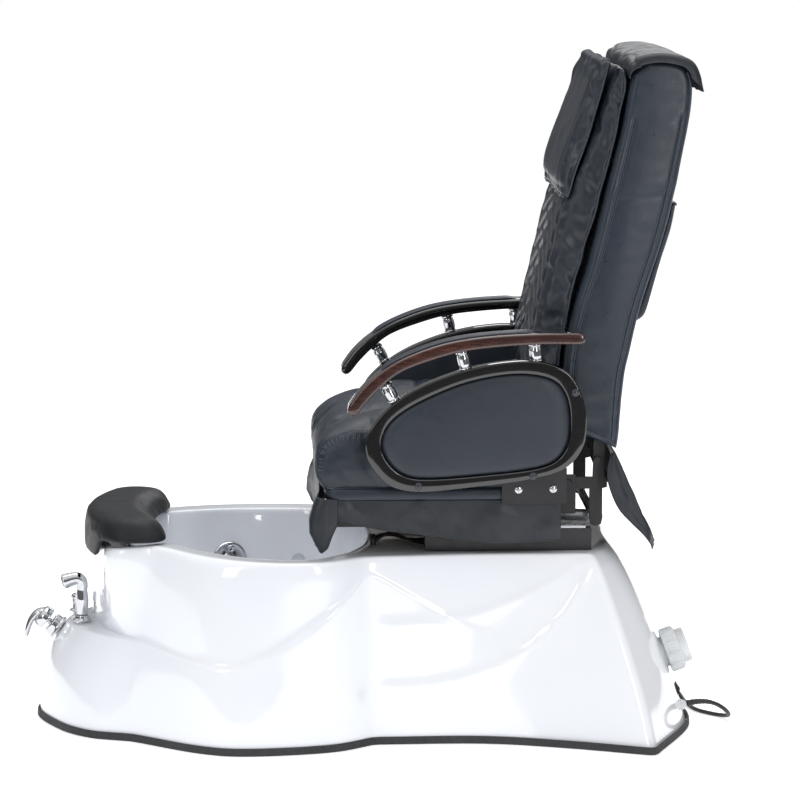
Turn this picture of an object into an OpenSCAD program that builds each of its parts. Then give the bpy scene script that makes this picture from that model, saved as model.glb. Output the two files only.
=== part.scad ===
// Pedicure spa chair: foot tub base, sliding seat, reclining massage back.
// Frame: +Z up, the sitter faces -X, origin on the floor at the middle of the footprint.

/* [Base] */
// Wall thickness of the moulded base
shell_t = 6; // [4:0.5:8]
// Height of the foot basin's floor
basin_floor = 86; // [70:1:110]
// Height of the ribbed edge strip
trim_h = 16; // [15:1:30]

/* [Seat] */
// Half width of the seat cushion
seat_hw = 262; // [240:1:262]
// Thickness of the seat board
board_t = 12; // [8:1:12]

/* [Arms] */
// Inner face of the oval arm frame, from the middle of the chair
arm_in = 270; // [270:1:276]
// Thickness of the oval arm frame
arm_t = 35; // [20:1:40]
// Width of the wooden arm rest
rest_w = 56; // [40:1:64]
// Radius of the chrome arm posts
post_r = 13; // [9:0.5:14]

/* [Back] */
// Half width of the back's case
back_hw = 250; // [230:1:250]
// Half width of the back's hollow
cavity_hw = 195; // [193:1:200]

/* [Fittings] */
// Bore radius of the drain socket, for a 60.3 mm pipe
socket_r = 30.2; // [25:0.1:31]
// Diameter of the mains lead
cord_d = 8; // [6:0.5:9]

/* [Hidden] */
$fn = 48;

// ---- curves and skins ----
function cr(a,b,c,d,t) = 0.5*((2*b)+(-a+c)*t+(2*a-5*b+4*c-d)*t*t+(-a+3*b-3*c+d)*t*t*t);
// smooth closed curve through points, n steps between neighbours
function loopc(p,n) = let(m=len(p)) [for(i=[0:m-1]) for(j=[0:n-1]) cr(p[(i+m-1)%m],p[i],p[(i+1)%m],p[(i+2)%m],j/n)];
// smooth open curve through points
function openc(p,n) = let(m=len(p)) concat([for(i=[0:m-2]) for(j=[0:n-1]) cr(p[max(i-1,0)],p[i],p[i+1],p[min(i+2,m-1)],j/n)],[p[m-1]]);
function unit(v) = v/norm(v);
function clampv(x,a,b) = min(max(x,a),b);
// whole ring of stations from the near half
function whole(h) = concat(h,[for(i=[len(h)-2:-1:1]) [h[i][0],-h[i][1],h[i][2]]]);
// skin over rings; ends closed with caps, or joined into a torus
module skin(rings, torus=false) {
  m = len(rings); n = len(rings[0]);
  pts = [for(r=rings) for(p=r) p];
  mm = torus ? m-1 : m-2;
  side = [for(i=[0:mm]) for(j=[0:n-1]) each [[i*n+j, i*n+(j+1)%n, ((i+1)%m)*n+(j+1)%n],[i*n+j, ((i+1)%m)*n+(j+1)%n, ((i+1)%m)*n+j]]];
  caps = torus ? [] : [[for(j=[n-1:-1:0]) j],[for(j=[0:n-1]) (m-1)*n+j]];
  polyhedron(points=pts, faces=concat(side,caps));
}
// round tube swept along a path that never runs straight up
function tube_rings(path,r,sides) = let(m=len(path)) [for(i=[0:m-1]) let(
    t=unit(path[min(i+1,m-1)]-path[max(i-1,0)]), s=unit(cross(t,[0,0,1])), u=cross(s,t))
    [for(k=[0:sides-1]) path[i]+r*(cos(360*k/sides)*s+sin(360*k/sides)*u)]];
module tube(path,r,sides=10) skin(tube_rings(path,r,sides));
module rod(a,b,r) { v=b-a; L=norm(v); translate(a) rotate([0,acos(v[2]/L),atan2(v[1],v[0])]) cylinder(h=L,r=r); }
module bar(x0,x1,y0,y1,z0,z1) translate([x0,y0,z0]) cube([x1-x0,y1-y0,z1-z0]);
module both() { children(); mirror([0,1,0]) children(); }
// plate drawn in X and Z, from y0 to y1
module plate(y0,y1) translate([0,y1,0]) rotate([90,0,0]) linear_extrude(height=y1-y0) children();

// ---- base outline: stations from the front round the near side to the rear,
// each from the floor up to the basin's opening ----
NET = [
 [[-640,0,0],[-633,0,75],[-615,0,152],[-583,0,192],[-533,0,196],[-534,0,265],[-532,0,335],[-520,0,356],[-478,0,354],[-477,0,343]],
 [[-594,-136,0],[-588,-132,75],[-573,-124,152],[-545,-112,192],[-508,-98,196],[-512,-108,265],[-514,-115,340],[-505,-112,362],[-466,-96,360],[-465,-95,349]],
 [[-532,-214,0],[-527,-208,75],[-516,-196,150],[-496,-180,190],[-474,-172,196],[-484,-192,265],[-492,-206,345],[-484,-202,370],[-438,-164,368],[-437,-163,357]],
 [[-448,-250,0],[-446,-244,75],[-443,-235,150],[-440,-227,188],[-436,-220,194],[-424,-221,265],[-412,-224,345],[-405,-219,376],[-382,-178,374],[-382,-177,363]],
 [[-318,-353,0],[-318,-348,75],[-318,-340,140],[-318,-335,164],[-318,-327,172],[-315,-319,265],[-310,-312,345],[-303,-300,368],[-285,-252,366],[-285,-251,355]],
 [[-223,-381,0],[-222,-375,75],[-220,-366,140],[-219,-362,172],[-218,-354,180],[-212,-348,265],[-205,-344,342],[-200,-337,363],[-192,-286,361],[-192,-285,350]],
 [[-72,-354,0],[-72,-352,75],[-74,-348,180],[-76,-346,258],[-78,-339,267],[-82,-338,305],[-86,-338,345],[-90,-334,362],[-98,-282,360],[-98,-281,349]],
 [[15,-292,0],[14,-292,75],[10,-292,200],[4,-291,335],[3,-288,341],[2,-287,348],[1,-285,354],[-2,-279,363],[-30,-222,361],[-31,-221,350]],
 [[217,-291,0],[217,-289,75],[217,-282,160],[217,-276,215],[217,-274,228],[217,-268,290],[217,-263,345],[217,-256,363],[-8,-168,361],[-9,-167,350]],
 [[367,-330,0],[364,-317,75],[360,-301,160],[356,-290,215],[355,-287,228],[352,-276,290],[350,-265,345],[348,-256,363],[4,-126,361],[3,-125,350]],
 [[541,-401,0],[527,-374,75],[503,-343,160],[486,-322,215],[482,-317,228],[462,-293,290],[443,-270,345],[432,-257,363],[10,-84,361],[9,-83,350]],
 [[627,-165,0],[604,-167,75],[573,-168,160],[550,-168,215],[545,-168,228],[518,-169,290],[488,-170,345],[466,-166,364],[14,-42,361],[13,-41,350]],
 [[627,0,0],[605,0,75],[573,0,160],[552,0,215],[547,0,228],[520,0,290],[487,0,345],[468,0,364],[15,0,361],[14,0,350]]];
STEPS = 3;
function ring_at(k) = loopc(whole([for(s=NET) s[k]]),STEPS);
// step towards the middle line of the base
function inward(p,t,a=-330,b=420) = let(v=[clampv(p[0],a,b)-p[0],-p[1],0]) p+t*unit(v);
DROP = [0,0,-3,-6,-6,0,-3,-6,-6,0];
OPENING = ring_at(8);
function pool(in,z,rel=false) = [for(p=OPENING) let(q=inward(p,in,-360,-100)) [q[0],q[1],rel?p[2]+z:z]];

module base_shell() color([0.95,0.96,0.98]) skin(concat(
    [for(k=[0:9]) ring_at(k)],
    [for(k=[9:-1:8]) [for(p=ring_at(k)) inward(p,-shell_t,-360,-100)+[0,0,DROP[k]]]],
    [for(k=[7:-1:0]) [for(p=ring_at(k)) inward(p,shell_t)+[0,0,DROP[k]]]]), torus=true);
module foot_basin() color([0.95,0.96,0.98]) skin([
    pool(100,basin_floor), pool(62,basin_floor+10), pool(36,basin_floor+60), pool(17,250), pool(9,-14,true), pool(5.5,-1,true),
    pool(0.5,-1,true), pool(3.5,-14,true), pool(11.5,250), pool(30.5,basin_floor+59), pool(58,basin_floor+5), pool(98,basin_floor-6)]);
module edge_trim() color([0.06,0.06,0.07]) skin([
    [for(p=ring_at(0)) inward(p,-0.4)+[0,0,1]], [for(p=ring_at(0)) inward(p,-5)+[0,0,1]],
    [for(p=ring_at(0)) inward(p,-4)+[0,0,trim_h]], [for(p=ring_at(0)) inward(p,-0.4)+[0,0,trim_h]]], torus=true);

// ---- under the shell ----
module base_frame() color([0.2,0.2,0.22]) {
  union() {
    both() { bar(60,560,165,195,22,48); bar(60,90,165,195,48,350); bar(400,430,165,195,48,350); bar(60,430,165,195,325,350); }
    bar(60,90,-165,165,22,48); bar(400,430,-165,165,22,48); bar(530,560,-165,165,22,48);
    bar(60,90,-165,165,325,350); bar(400,430,-165,165,325,350);
    bar(-560,60,-15,15,14,36);
  }
}
module foot(x,y,top) translate([x,y,0]) { cylinder(h=10,r=22); translate([0,0,10]) cylinder(h=top-10,r=5); }
module levelling_feet() color([0.1,0.1,0.1]) { for(x=[85,545]) both() foot(x,180,22); foot(-545,0,14); foot(-200,0,14); }
// jet pump on the far wall: local -Y faces into the basin
module at_jet() translate([-267,246,262]) rotate([0,0,21]) rotate([-10,0,0]) children();
module jet_housing() color([0.85,0.86,0.88]) at_jet() rotate([-90,0,0]) difference() {
  union() { translate([0,0,-4]) cylinder(h=44,r=32); translate([0,0,40]) cylinder(h=22,r=25); }
  translate([0,0,-5]) cylinder(h=33,r=28);
  translate([0,0,28]) cylinder(h=8,r=4.05);
}
module jet_impeller() color([0.15,0.15,0.16]) at_jet() rotate([-90,0,0]) union() {
  translate([0,0,20]) cylinder(h=4,r=23);
  translate([0,0,12]) cylinder(h=8,r=7);
  for(a=[0:60:300]) rotate([0,0,a]) translate([6,-1.2,12]) cube([15,2.4,9]);
  translate([0,0,24]) cylinder(h=11,r=4);
}
module jet_cover() color([0.8,0.81,0.83]) at_jet() rotate([90,0,0]) union() {
  difference() { translate([0,0,4.2]) cylinder(h=7,r1=38,r2=35); translate([0,0,4]) cylinder(h=5,r=29);
    for(a=[30:60:330]) rotate([0,0,a]) translate([20,0,3]) cylinder(h=12,r=3); }
  for(a=[-35,90,215]) rotate([0,0,a]) translate([22,0,11.2]) { cylinder(h=8,r=9); translate([0,0,8]) cylinder(h=3,r=6.5); }
  translate([0,0,11.2]) cylinder(h=5,r=12);
}
module basin_light() color([0.75,0.76,0.8]) translate([-125,272,255]) rotate([0,0,4]) rotate([80,0,0]) { cylinder(h=6,r=14); translate([0,0,6]) cylinder(h=3,r=10); translate([0,0,-22]) cylinder(h=22,r=9); }
module drain_strainer() color([0.8,0.81,0.83]) translate([-230,0,0]) union() {
  difference() { translate([0,0,basin_floor]) cylinder(h=3,r=32); for(a=[0:45:315]) rotate([0,0,a]) translate([18,0,basin_floor-1]) cylinder(h=5,r=3.2); translate([0,0,basin_floor-1]) cylinder(h=5,r=3.2); }
  difference() { translate([0,0,60]) cylinder(h=basin_floor-60,r=25); translate([0,0,59]) cylinder(h=basin_floor-59,r=22); }
}
module drain_pump() color([0.25,0.27,0.3]) union() {
  translate([130,-120,50]) cylinder(h=85,r=46); translate([130,-120,135]) cylinder(h=50,r=34);
  bar(92,168,-162,-78,49,56);
}
// union at the rear wall: local +X leaves the wall
module at_union() translate([583,-120,140]) rotate([0,-20,0]) children();
module drain_pipe() color([0.86,0.87,0.88]) union() {
  translate([-230,0,48]) cylinder(h=12,r=18);
  rod([-230,0,63],[133,0,63],14); rod([130,0,63],[130,-80,66],14);
  rod([174,-120,112],[505,-120,112],22); translate([505,-120,112]) sphere(r=24);
  at_union() difference() { rotate([0,90,0]) translate([0,0,-82]) cylinder(h=90,r=30); rotate([0,90,0]) translate([0,0,-60]) cylinder(h=70,r=26); }
}
module union_nut() color([0.9,0.91,0.92]) at_union() rotate([0,90,0]) difference() {
  union() { translate([0,0,7]) cylinder(h=29,r=42); for(a=[15:30:345]) rotate([0,0,a]) translate([40,-4,9]) cube([5,8,25]); }
  translate([0,0,6]) cylinder(h=40,r=34.6);
}
module drain_outlet() color([0.9,0.91,0.92]) at_union() rotate([0,90,0]) difference() {
  translate([0,0,8]) cylinder(h=44,r=34.5);
  translate([0,0,7]) cylinder(h=10,r=26);
  translate([0,0,14]) cylinder(h=50,r=socket_r);
}
module control_box() color([0.3,0.31,0.33]) { bar(440,535,30,150,50,150); bar(445,530,35,145,150,154); }
module at_switch() translate([613.3,-108,65]) rotate([0,-18,0]) children();
module switch_bezel() color([0.08,0.08,0.09]) at_switch() difference() {
  union() { bar(1,4,-14,14,-11,11); bar(-22,1,-11,11,-8,8); }
  bar(-14,5,-9,9,-6,6);
}
module rocker_switch() color([0.12,0.12,0.13]) at_switch() union() { plate(-8.6,8.6) polygon([[1.6,-4.6],[4.5,-4.6],[6.5,-1],[6.5,1],[4.5,4.6],[1.6,4.6]]); rotate([90,0,0]) translate([2.6,0,-8.9]) cylinder(h=17.8,r=1.4); }
module at_gland() translate([606,-158,41]) rotate([0,-12,0]) rotate([0,90,0]) children();
module cord_gland() color([0.9,0.91,0.92]) at_gland() difference() {
  union() { translate([0,0,-12]) cylinder(h=14,r=8); translate([0,0,2]) cylinder(h=7,r=13,$fn=6); translate([0,0,9]) cylinder(h=7,r=10); translate([0,0,16]) cylinder(h=6,r1=9,r2=6); }
  translate([0,0,-13]) cylinder(h=40,r=cord_d/2+0.05);
}
ROUTE = [[628,-158,46],[644,-158,49],[661,-158,50],[678,-156,47],[694,-151,39],[707,-141,28],[715,-126,17],[716,-109,10],[711,-92,6],[700,-77,4],[685,-62,4],[670,-43,4],[658,-17,4],[651,18,4],[647,58,4],[645,110,4],[641,170,4],[633,235,4],[620,302,4],[602,370,4],[577,432,4],[538,482,4],[487,510,4],[438,519,4],[396,520,4]];
module mains_cord() color([0.05,0.05,0.06]) tube(openc(ROUTE,2),cord_d/2,8);
COIL = [380,470,0];
module mains_cord_coil() color([0.05,0.05,0.06]) translate(COIL) rotate_extrude() polygon([[38,2],[40,0],[52,0],[54,2],[54,14],[52,16],[40,16],[38,14]]);
module mains_plug() color([0.05,0.05,0.06]) translate([COIL[0]-50,COIL[1]-14,12]) rotate([90,0,0]) union() {
  cylinder(h=38,r1=cord_d/2+0.6,r2=8);
  translate([-14,-12,38]) cube([28,24,40]);
  for(x=[-7,6]) translate([x-0.8,-3.2,78]) cube([1.6,6.4,17]);
  translate([0,6,78]) cylinder(h=20,r=2.4);
}

// ---- tub fittings ----
module at_mixer() translate([-600,0,172]) rotate([0,-51,0]) children();
module mixer_base() color([0.8,0.81,0.83]) at_mixer() difference() {
  union() { translate([0,0,-14]) cylinder(h=15,r=14); translate([0,0,1]) cylinder(h=4,r=26); translate([0,0,5]) cylinder(h=15,r=22); }
  translate([0,0,4]) cylinder(h=20,r=16.1);
}
module mixer_cartridge() color([0.35,0.36,0.38]) at_mixer() union() { translate([0,0,5]) cylinder(h=17,r=16); translate([0,0,22]) cylinder(h=16,r=6); }
module mixer_handle() color([0.8,0.81,0.83]) union() {
  at_mixer() difference() { union() { translate([0,0,29]) cylinder(h=14,r=23); translate([0,0,43]) cylinder(h=6,r1=23,r2=16); } translate([0,0,28]) cylinder(h=13,r=14); }
  difference() { plate(-8,8) polygon([[-637,213],[-648,206],[-657,189],[-667,164],[-665,157],[-658,155],[-651,162],[-641,178],[-630,190]]); at_mixer() translate([0,0,25]) cylinder(h=20,r=21); }
}
module sprayer_holder() color([0.8,0.81,0.83]) translate([-552,-50,0]) difference() {
  union() { translate([0,0,180]) cylinder(h=18,r=14); translate([0,0,197]) cylinder(h=4,r=18); translate([0,0,201]) cylinder(h=8,r=14.5); }
  translate([0,0,179]) cylinder(h=40,r=10.1);
}
module sprayer() color([0.8,0.81,0.83]) translate([-552,-50,0]) union() {
  translate([0,0,198]) cylinder(h=58,r=10);
  translate([0,0,210]) cylinder(h=30,r1=12,r2=13); translate([0,0,240]) cylinder(h=28,r1=13,r2=11);
  translate([0,0,270]) sphere(r=13);
  translate([0,0,270]) rotate([0,-92,0]) cylinder(h=36,r1=12,r2=14);
}
module diverter_base() color([0.8,0.81,0.83]) translate([-566,48,0]) difference() { union() { translate([0,0,180]) cylinder(h=17,r=11); translate([0,0,197]) cylinder(h=4,r=16); translate([0,0,201]) cylinder(h=10,r=10); } translate([0,0,196]) cylinder(h=20,r=4.05); }
module diverter_knob() color([0.8,0.81,0.83]) translate([-566,48,0]) union() { translate([0,0,198]) cylinder(h=17,r=4); translate([0,0,213]) cylinder(h=14,r1=11,r2=13); translate([0,0,227]) cylinder(h=6,r1=13,r2=10); bar(10,20,-3.5,3.5,216,226); }

// ---- footrest over the front rim ----
PAD = [[-548,0],[-543,-70],[-527,-140],[-503,-196],[-470,-224],[-430,-222],[-404,-196],[-406,-150],[-421,-85],[-427,0]];
module footrest_pad() color([0.07,0.08,0.09]) difference() {
  union() {
    translate([0,0,379]) linear_extrude(height=52) polygon(loopc(concat(PAD,[for(i=[8:-1:1]) [PAD[i][0],-PAD[i][1]]]),3));
    translate([0,0,431]) linear_extrude(height=9) polygon(loopc([for(p=concat(PAD,[for(i=[8:-1:1]) [PAD[i][0],-PAD[i][1]]])) [(p[0]+475)*0.86-475,p[1]*0.95]],3));
  }
}
module footrest_bracket() color([0.05,0.05,0.05]) union() {
  bar(-541,-440,-70,70,376,379); bar(-541,-537,-70,70,345,376); bar(-460,-456,-60,60,338,376);
}

// ---- seat slide ----
module slide_base() color([0.05,0.05,0.06]) union() {
  both() difference() { bar(114,434,200,225,364.5,406); bar(113,435,203,222,367.5,407); }
  for(x=[125,375]) bar(x,x+45,-200,200,364.5,370);
}
CAB1 = [[20,-150,370],[32,-146,378],[46,-140,384],[62,-140,382],[78,-146,375],[94,-154,370],[110,-156,368],[124.5,-156,368]];
CAB2 = [[20,-110,370],[36,-112,376],[52,-122,378],[68,-128,375],[82,-126,370],[96,-122,368],[112,-122,368],[124.5,-122,368]];
module seat_cable() color([0.04,0.04,0.05]) { tube(openc(CAB1,2),3,8); tube(openc(CAB2,2),3,8); for(y=[-150,-110]) translate([16,y,363.6]) cylinder(h=13,r=6); }
module seat_rails() color([0.55,0.56,0.58]) both() { bar(134,422,205,220,368.5,407); bar(134,422,205,228,407,412); }
AX = 190; AZ = 430; PX = 444; PZ = 418; OX = 390; OZ = 488;
module seat_frame() color([0.06,0.06,0.07]) difference() {
  union() {
    both() { bar(-60,368,203,230,412,462); bar(368,405,193,199,430,506); bar(340,368,193,203,430,462); }
    bar(-60,-35,-203,203,412,440); bar(140,165,-203,203,418,462); bar(340,365,-203,203,462,468);
    for(y=[-166,-138]) bar(165,200,y,y+6,418,444);
  }
  translate([OX,0,OZ]) rotate([90,0,0]) translate([0,0,-210]) cylinder(h=420,r=8.05);
  translate([AX,0,AZ]) rotate([90,0,0]) translate([0,0,120]) cylinder(h=60,r=4);
}
module seat_board() color([0.5,0.38,0.25]) bar(-60,366,-256,256,468,468+board_t);
module seat_cushion() color([0.13,0.15,0.18]) plate(-seat_hw,seat_hw) polygon(openc([[-72,480.2],[-90,500],[-97,550],[-89,582],[-64,608],[-28,628],[14,642],[60,648],[160,638],[260,621],[335,606],[361,592],[366,560],[364,480.2]],3));
module seat_skirt() color([0.12,0.13,0.16]) both() plate(256.5,260.5) polygon([[-58,467.5],[-50,429],[26,413],[140,397],[255,384],[372,390],[372,461.5],[258,461.5],[258,467.5]]);
module front_flap() color([0.12,0.13,0.16]) plate(-252,252) polygon([[-64,467.5],[-84,467.5],[-100,430],[-103,403],[-94,385],[-80,371],[-77,373],[-90,390],[-98,405],[-95,429],[-80,463],[-64,463]]);

// ---- arms ----
RING_O = [[16,530],[0,560],[0,592],[16,625],[50,659],[105,693],[182,722],[259,737],[330,738],[382,716],[408,672],[416,620],[407,570],[371,532],[298,512],[205,500],[105,491],[48,501]];
RING_I = [[43,544],[27,578],[34,610],[57,637],[105,666],[182,698],[259,714],[317,714],[359,700],[380,668],[386,626],[382,583],[361,550],[317,533],[221,522],[124,515],[74,520]];
REST_T = [[-40,648],[-10,689],[28,722],[74,749],[143,774],[220,787],[316,793],[411,794]];
REST_B = [[411,772],[335,773],[258,769],[182,760],[120,743],[66,722],[32,697],[1,666],[-22,636]];
module ring_plate() color([0.03,0.03,0.03]) plate(arm_in,arm_in+arm_t) difference() { polygon(loopc(RING_O,3)); polygon(loopc(RING_I,3)); }
module panel_plate() color([0.14,0.16,0.19]) plate(arm_in+2,arm_in+arm_t-5) polygon(loopc(RING_I,3));
module rest_bar() color([0.25,0.08,0.04]) plate(290-rest_w/2,290+rest_w/2) polygon(concat(openc(REST_T,3),openc(REST_B,3)));
module arm_frame_left() mirror([0,1,0]) ring_plate();
module arm_frame_right() ring_plate();
module arm_panel_left() mirror([0,1,0]) panel_plate();
module arm_panel_right() panel_plate();
module arm_rest_left() mirror([0,1,0]) rest_bar();
module arm_rest_right() rest_bar();
module post(a,b) { v=b-a; L=norm(v); translate([a[0],288,a[1]]) rotate([0,atan2(v[0],v[1]),0]) { translate([0,0,-3]) cylinder(h=L+6,r=post_r*0.7); translate([0,0,1]) cylinder(h=7,r=post_r); translate([0,0,L-8]) cylinder(h=7,r=post_r); translate([0,0,8]) cylinder(h=L-16,r=post_r-2); } }
module arm_posts() color([0.8,0.81,0.83]) both() { post([53,663],[36,695]); post([188,723],[180,758]); post([321,738],[318,772]); }
module arm_brackets() color([0.05,0.05,0.06]) both() { bar(258,382,264,269.7,462,530); bar(262,366,203,264,462,468); }
module screw_head() rotate([90,0,0]) { difference() { cylinder(h=4,r=7.5); translate([0,0,2]) cylinder(h=3,r=3.2); } translate([0,0,-5]) cylinder(h=5,r=4); }
module arm_screws() color([0.8,0.81,0.83]) both() for(p=[[290,489],[356,490]]) translate([p[0],-269.8,p[1]]) screw_head();
module frame_studs() color([0.1,0.1,0.11]) both() for(p=[[394,680],[315,521],[98,503]]) translate([p[0],-(arm_in+arm_t),p[1]]) rotate([90,0,0]) { cylinder(h=3,r=7); translate([0,0,-8]) cylinder(h=8,r=4); }

// ---- back ----
CASE_F = [[414,590],[392,602],[380,640],[376,700],[382,765],[401,846],[419,903],[438,980],[456,1056],[484,1169],[496,1240],[507,1290]];
CASE_R = [[532,1306],[600,1300],[618,1275],[612,1220],[592,1120],[572,1020],[545,920],[520,830],[504,790],[489,696],[477,563]];
CAV_F = [[404,560],[398,640],[390,700],[396,765],[414,846],[450,980],[468,1056],[497,1169],[508,1236]];
CAV_R = [[596,1220],[580,1120],[560,1020],[532,920],[507,830],[492,790],[477,696],[466,550]];
module back_case() color([0.13,0.15,0.18]) difference() {
  plate(-back_hw,back_hw) polygon(concat(openc(CASE_F,2),openc(CASE_R,2)));
  plate(-cavity_hw,cavity_hw) polygon(concat(openc(CAV_F,2),openc(CAV_R,2)));
}
module top_cap() color([0.12,0.13,0.16]) plate(-back_hw-4,back_hw+4) polygon([[500,1291],[504,1306],[532,1322],[561,1326],[610,1321],[640,1309],[655,1280],[663,1234],[658,1232],[647,1274],[632,1300],[606,1306],[532,1310],[512,1304],[505,1292]]);
module back_pad() color([0.13,0.15,0.18]) plate(-232,232) polygon(concat(
  openc([[318,650],[312,700],[319,762],[331,820],[345,880],[360,945],[376,1010],[398,1060],[420,1120],[442,1190],[462,1250],[478,1296]],2),
  openc([[496,1284],[488,1236],[477,1169],[449,1056],[431,980],[412,903],[394,846],[375,765],[369,700],[372,645],[345,636]],2)));
module head_pad() color([0.12,0.13,0.16]) plate(-215,215) polygon(concat(
  openc([[372,1036],[378,1080],[393,1130],[413,1180],[432,1230],[443,1275],[450,1311]],2),
  openc([[474,1310],[468,1280],[455,1240],[434,1180],[414,1122],[391,1062],[380,1034]],2)));
module lever(y0,y1) plate(y0,y1)
  polygon([[434,408],[444,404],[455,408],[457,418],[457,478],[466,480],[466,497],[460,500],[462,560],[466,600],[466,650],[448,655],[444,600],[440,560],[438,500],[382,500],[375,494],[375,482],[382,477],[432,477],[432,418]]);
// cross rods of the back: pivot shaft, strut bar, head and foot tubes
module back_frame() color([0.06,0.06,0.07]) union() {
  both() { lever(183,191); plate(183,191) polygon([[448,650],[466,645],[484,790],[524,920],[572,1120],[584,1190],[562,1198],[500,920],[462,790]]); }
  rod([PX,-183,PZ],[PX,183,PZ],8); rod([462,-183,640],[462,183,640],9); rod([566,-183,1160],[566,183,1160],9);
  for(y=[-198,190]) rod([446,y,533],[446,y+8,533],7);
  both() rod([OX,184,OZ],[OX,202,OZ],8);
}
BD = [0.2079,0,0.9781];
function on_rail(s,n=0) = [430+BD[0]*s-BD[2]*n,0,660+BD[2]*s+BD[0]*n];
module at_rail(s,n=0) translate(on_rail(s,n)) rotate([0,12,0]) children();
module massage_rails() color([0.7,0.71,0.73]) { both() at_rail(5) translate([0,70,0]) cylinder(h=520,r=6);
  at_rail(0) difference() { bar(-12,12,-183,183,0,8); translate([0,0,4]) cylinder(h=10,r=7.1); }
  at_rail(525) difference() { bar(-12,12,-183,183,0,8); translate([0,0,-1]) cylinder(h=5,r=7.1); } }
module lead_screw() color([0.75,0.76,0.78]) at_rail(0) translate([0,0,4.2]) cylinder(h=524,r=7);
module massage_carriage() color([0.25,0.26,0.28]) at_rail(60) difference() {
  union() { bar(-16,16,-95,95,0,70); both() bar(-32,-16,20,28,44,70); both() bar(-32,-16,76,84,44,70); bar(16,28,-30,30,5,60); }
  both() translate([0,70,-1]) cylinder(h=80,r=6.05);
  translate([0,0,-1]) cylinder(h=80,r=7.05);
  rotate([90,0,0]) translate([-24,60,-100]) cylinder(h=200,r=3.05);
}
module massage_rollers() color([0.55,0.3,0.15]) at_rail(60) union() {
  both() { rotate([90,0,0]) translate([-24,60,-88]) cylinder(h=72,r=3);
    plate(33,40) polygon([[-29,54],[-19,54],[-19,66],[-20,110],[-28,110],[-29,66]]);
    rotate([90,0,0]) translate([-24,104,-62]) cylinder(h=28,r=3);
    rotate([90,0,0]) translate([-24,104,-61]) cylinder(h=18,r=13); }
}
module rear_flap() color([0.12,0.13,0.16]) union() {
  plate(-236,236) polygon([[476,557],[479,554],[511,486],[540,410],[554,370],[550,368],[535,409],[507,484],[475,552],[473,555]]);
  both() plate(232,236) polygon([[476,557],[511,486],[540,410],[554,370],[535,392],[512,414],[484,442],[466,490],[462,530]]);
}
SA = atan2(AZ-PZ,PX-AX); SL = norm([PX-AX,PZ-AZ]);
module at_strut() translate([AX,-149,AZ]) rotate([0,SA,0]) children();
module strut_rod() color([0.75,0.76,0.78]) at_strut() union() {
  rotate([90,0,0]) translate([0,0,-6]) cylinder(h=12,r=10);
  rotate([90,0,0]) translate([0,0,-16.8]) cylinder(h=33.6,r=3.95);
  translate([5,0,0]) rotate([0,90,0]) cylinder(h=115,r=5); translate([118,0,0]) rotate([0,90,0]) cylinder(h=8,r=8.9);
}
module strut_cylinder() color([0.6,0.61,0.63]) at_strut() union() {
  difference() { translate([98,0,0]) rotate([0,90,0]) cylinder(h=SL-14-98,r=11.5); translate([102,0,0]) rotate([0,90,0]) cylinder(h=SL-30-102,r=9); translate([90,0,0]) rotate([0,90,0]) cylinder(h=20,r=5.1);
    translate([SL,0,0]) rotate([90,0,0]) translate([0,0,-20]) cylinder(h=40,r=12.2); }
  difference() { translate([SL,0,0]) rotate([90,0,0]) translate([0,0,-9]) cylinder(h=18,r=17); translate([SL,0,0]) rotate([90,0,0]) translate([0,0,-20]) cylinder(h=40,r=12.2); }
}

base_shell();
foot_basin();
edge_trim();
base_frame();
levelling_feet();
jet_housing();
jet_cover();
basin_light();
drain_strainer();
drain_pump();
drain_pipe();
union_nut();
drain_outlet();
control_box();
switch_bezel();
cord_gland();
mains_cord();
mains_cord_coil();
mains_plug();
mixer_base();
sprayer_holder();
diverter_base();
slide_base();
seat_cable();
jet_impeller();
rocker_switch();
mixer_cartridge();
mixer_handle();
diverter_knob();
sprayer();
footrest_pad();
footrest_bracket();
seat_rails();
seat_frame();
seat_board();
seat_cushion();
seat_skirt();
front_flap();
arm_brackets();
arm_screws();
arm_frame_left();
arm_frame_right();
arm_panel_left();
arm_panel_right();
arm_rest_left();
arm_rest_right();
arm_posts();
frame_studs();
back_frame();
back_case();
back_pad();
head_pad();
top_cap();
massage_rails();
rear_flap();
strut_rod();
strut_cylinder();
massage_carriage();
lead_screw();
massage_rollers();
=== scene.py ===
import bpy
import bmesh
import math
import numpy as np
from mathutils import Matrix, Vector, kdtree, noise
from mathutils.bvhtree import BVHTree


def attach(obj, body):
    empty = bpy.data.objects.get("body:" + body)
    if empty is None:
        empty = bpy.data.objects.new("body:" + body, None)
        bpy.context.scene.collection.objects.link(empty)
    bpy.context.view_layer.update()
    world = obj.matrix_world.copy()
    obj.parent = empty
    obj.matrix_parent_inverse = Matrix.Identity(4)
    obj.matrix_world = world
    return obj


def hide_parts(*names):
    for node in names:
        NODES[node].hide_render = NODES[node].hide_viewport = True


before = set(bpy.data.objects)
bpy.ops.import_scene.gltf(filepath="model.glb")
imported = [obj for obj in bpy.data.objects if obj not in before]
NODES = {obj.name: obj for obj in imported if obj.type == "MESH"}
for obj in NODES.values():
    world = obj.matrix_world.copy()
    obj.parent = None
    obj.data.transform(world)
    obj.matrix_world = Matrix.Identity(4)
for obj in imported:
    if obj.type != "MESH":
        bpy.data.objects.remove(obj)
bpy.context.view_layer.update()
scene = bpy.context.scene

# ---------------------------------------------------------------- camera
cam_data = bpy.data.cameras.new("camera")
cam_data.sensor_width = 36.0
cam_data.lens = 166.5
cam_data.clip_end = 400
cam = bpy.data.objects.new("camera", cam_data)
scene.collection.objects.link(cam)
cam.location = (-0.190, -7.20, 1.646)
cam.rotation_euler = Vector((0.0363, 0.9894, -0.1404)).to_track_quat("-Z", "Y").to_euler()
scene.camera = cam


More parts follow.
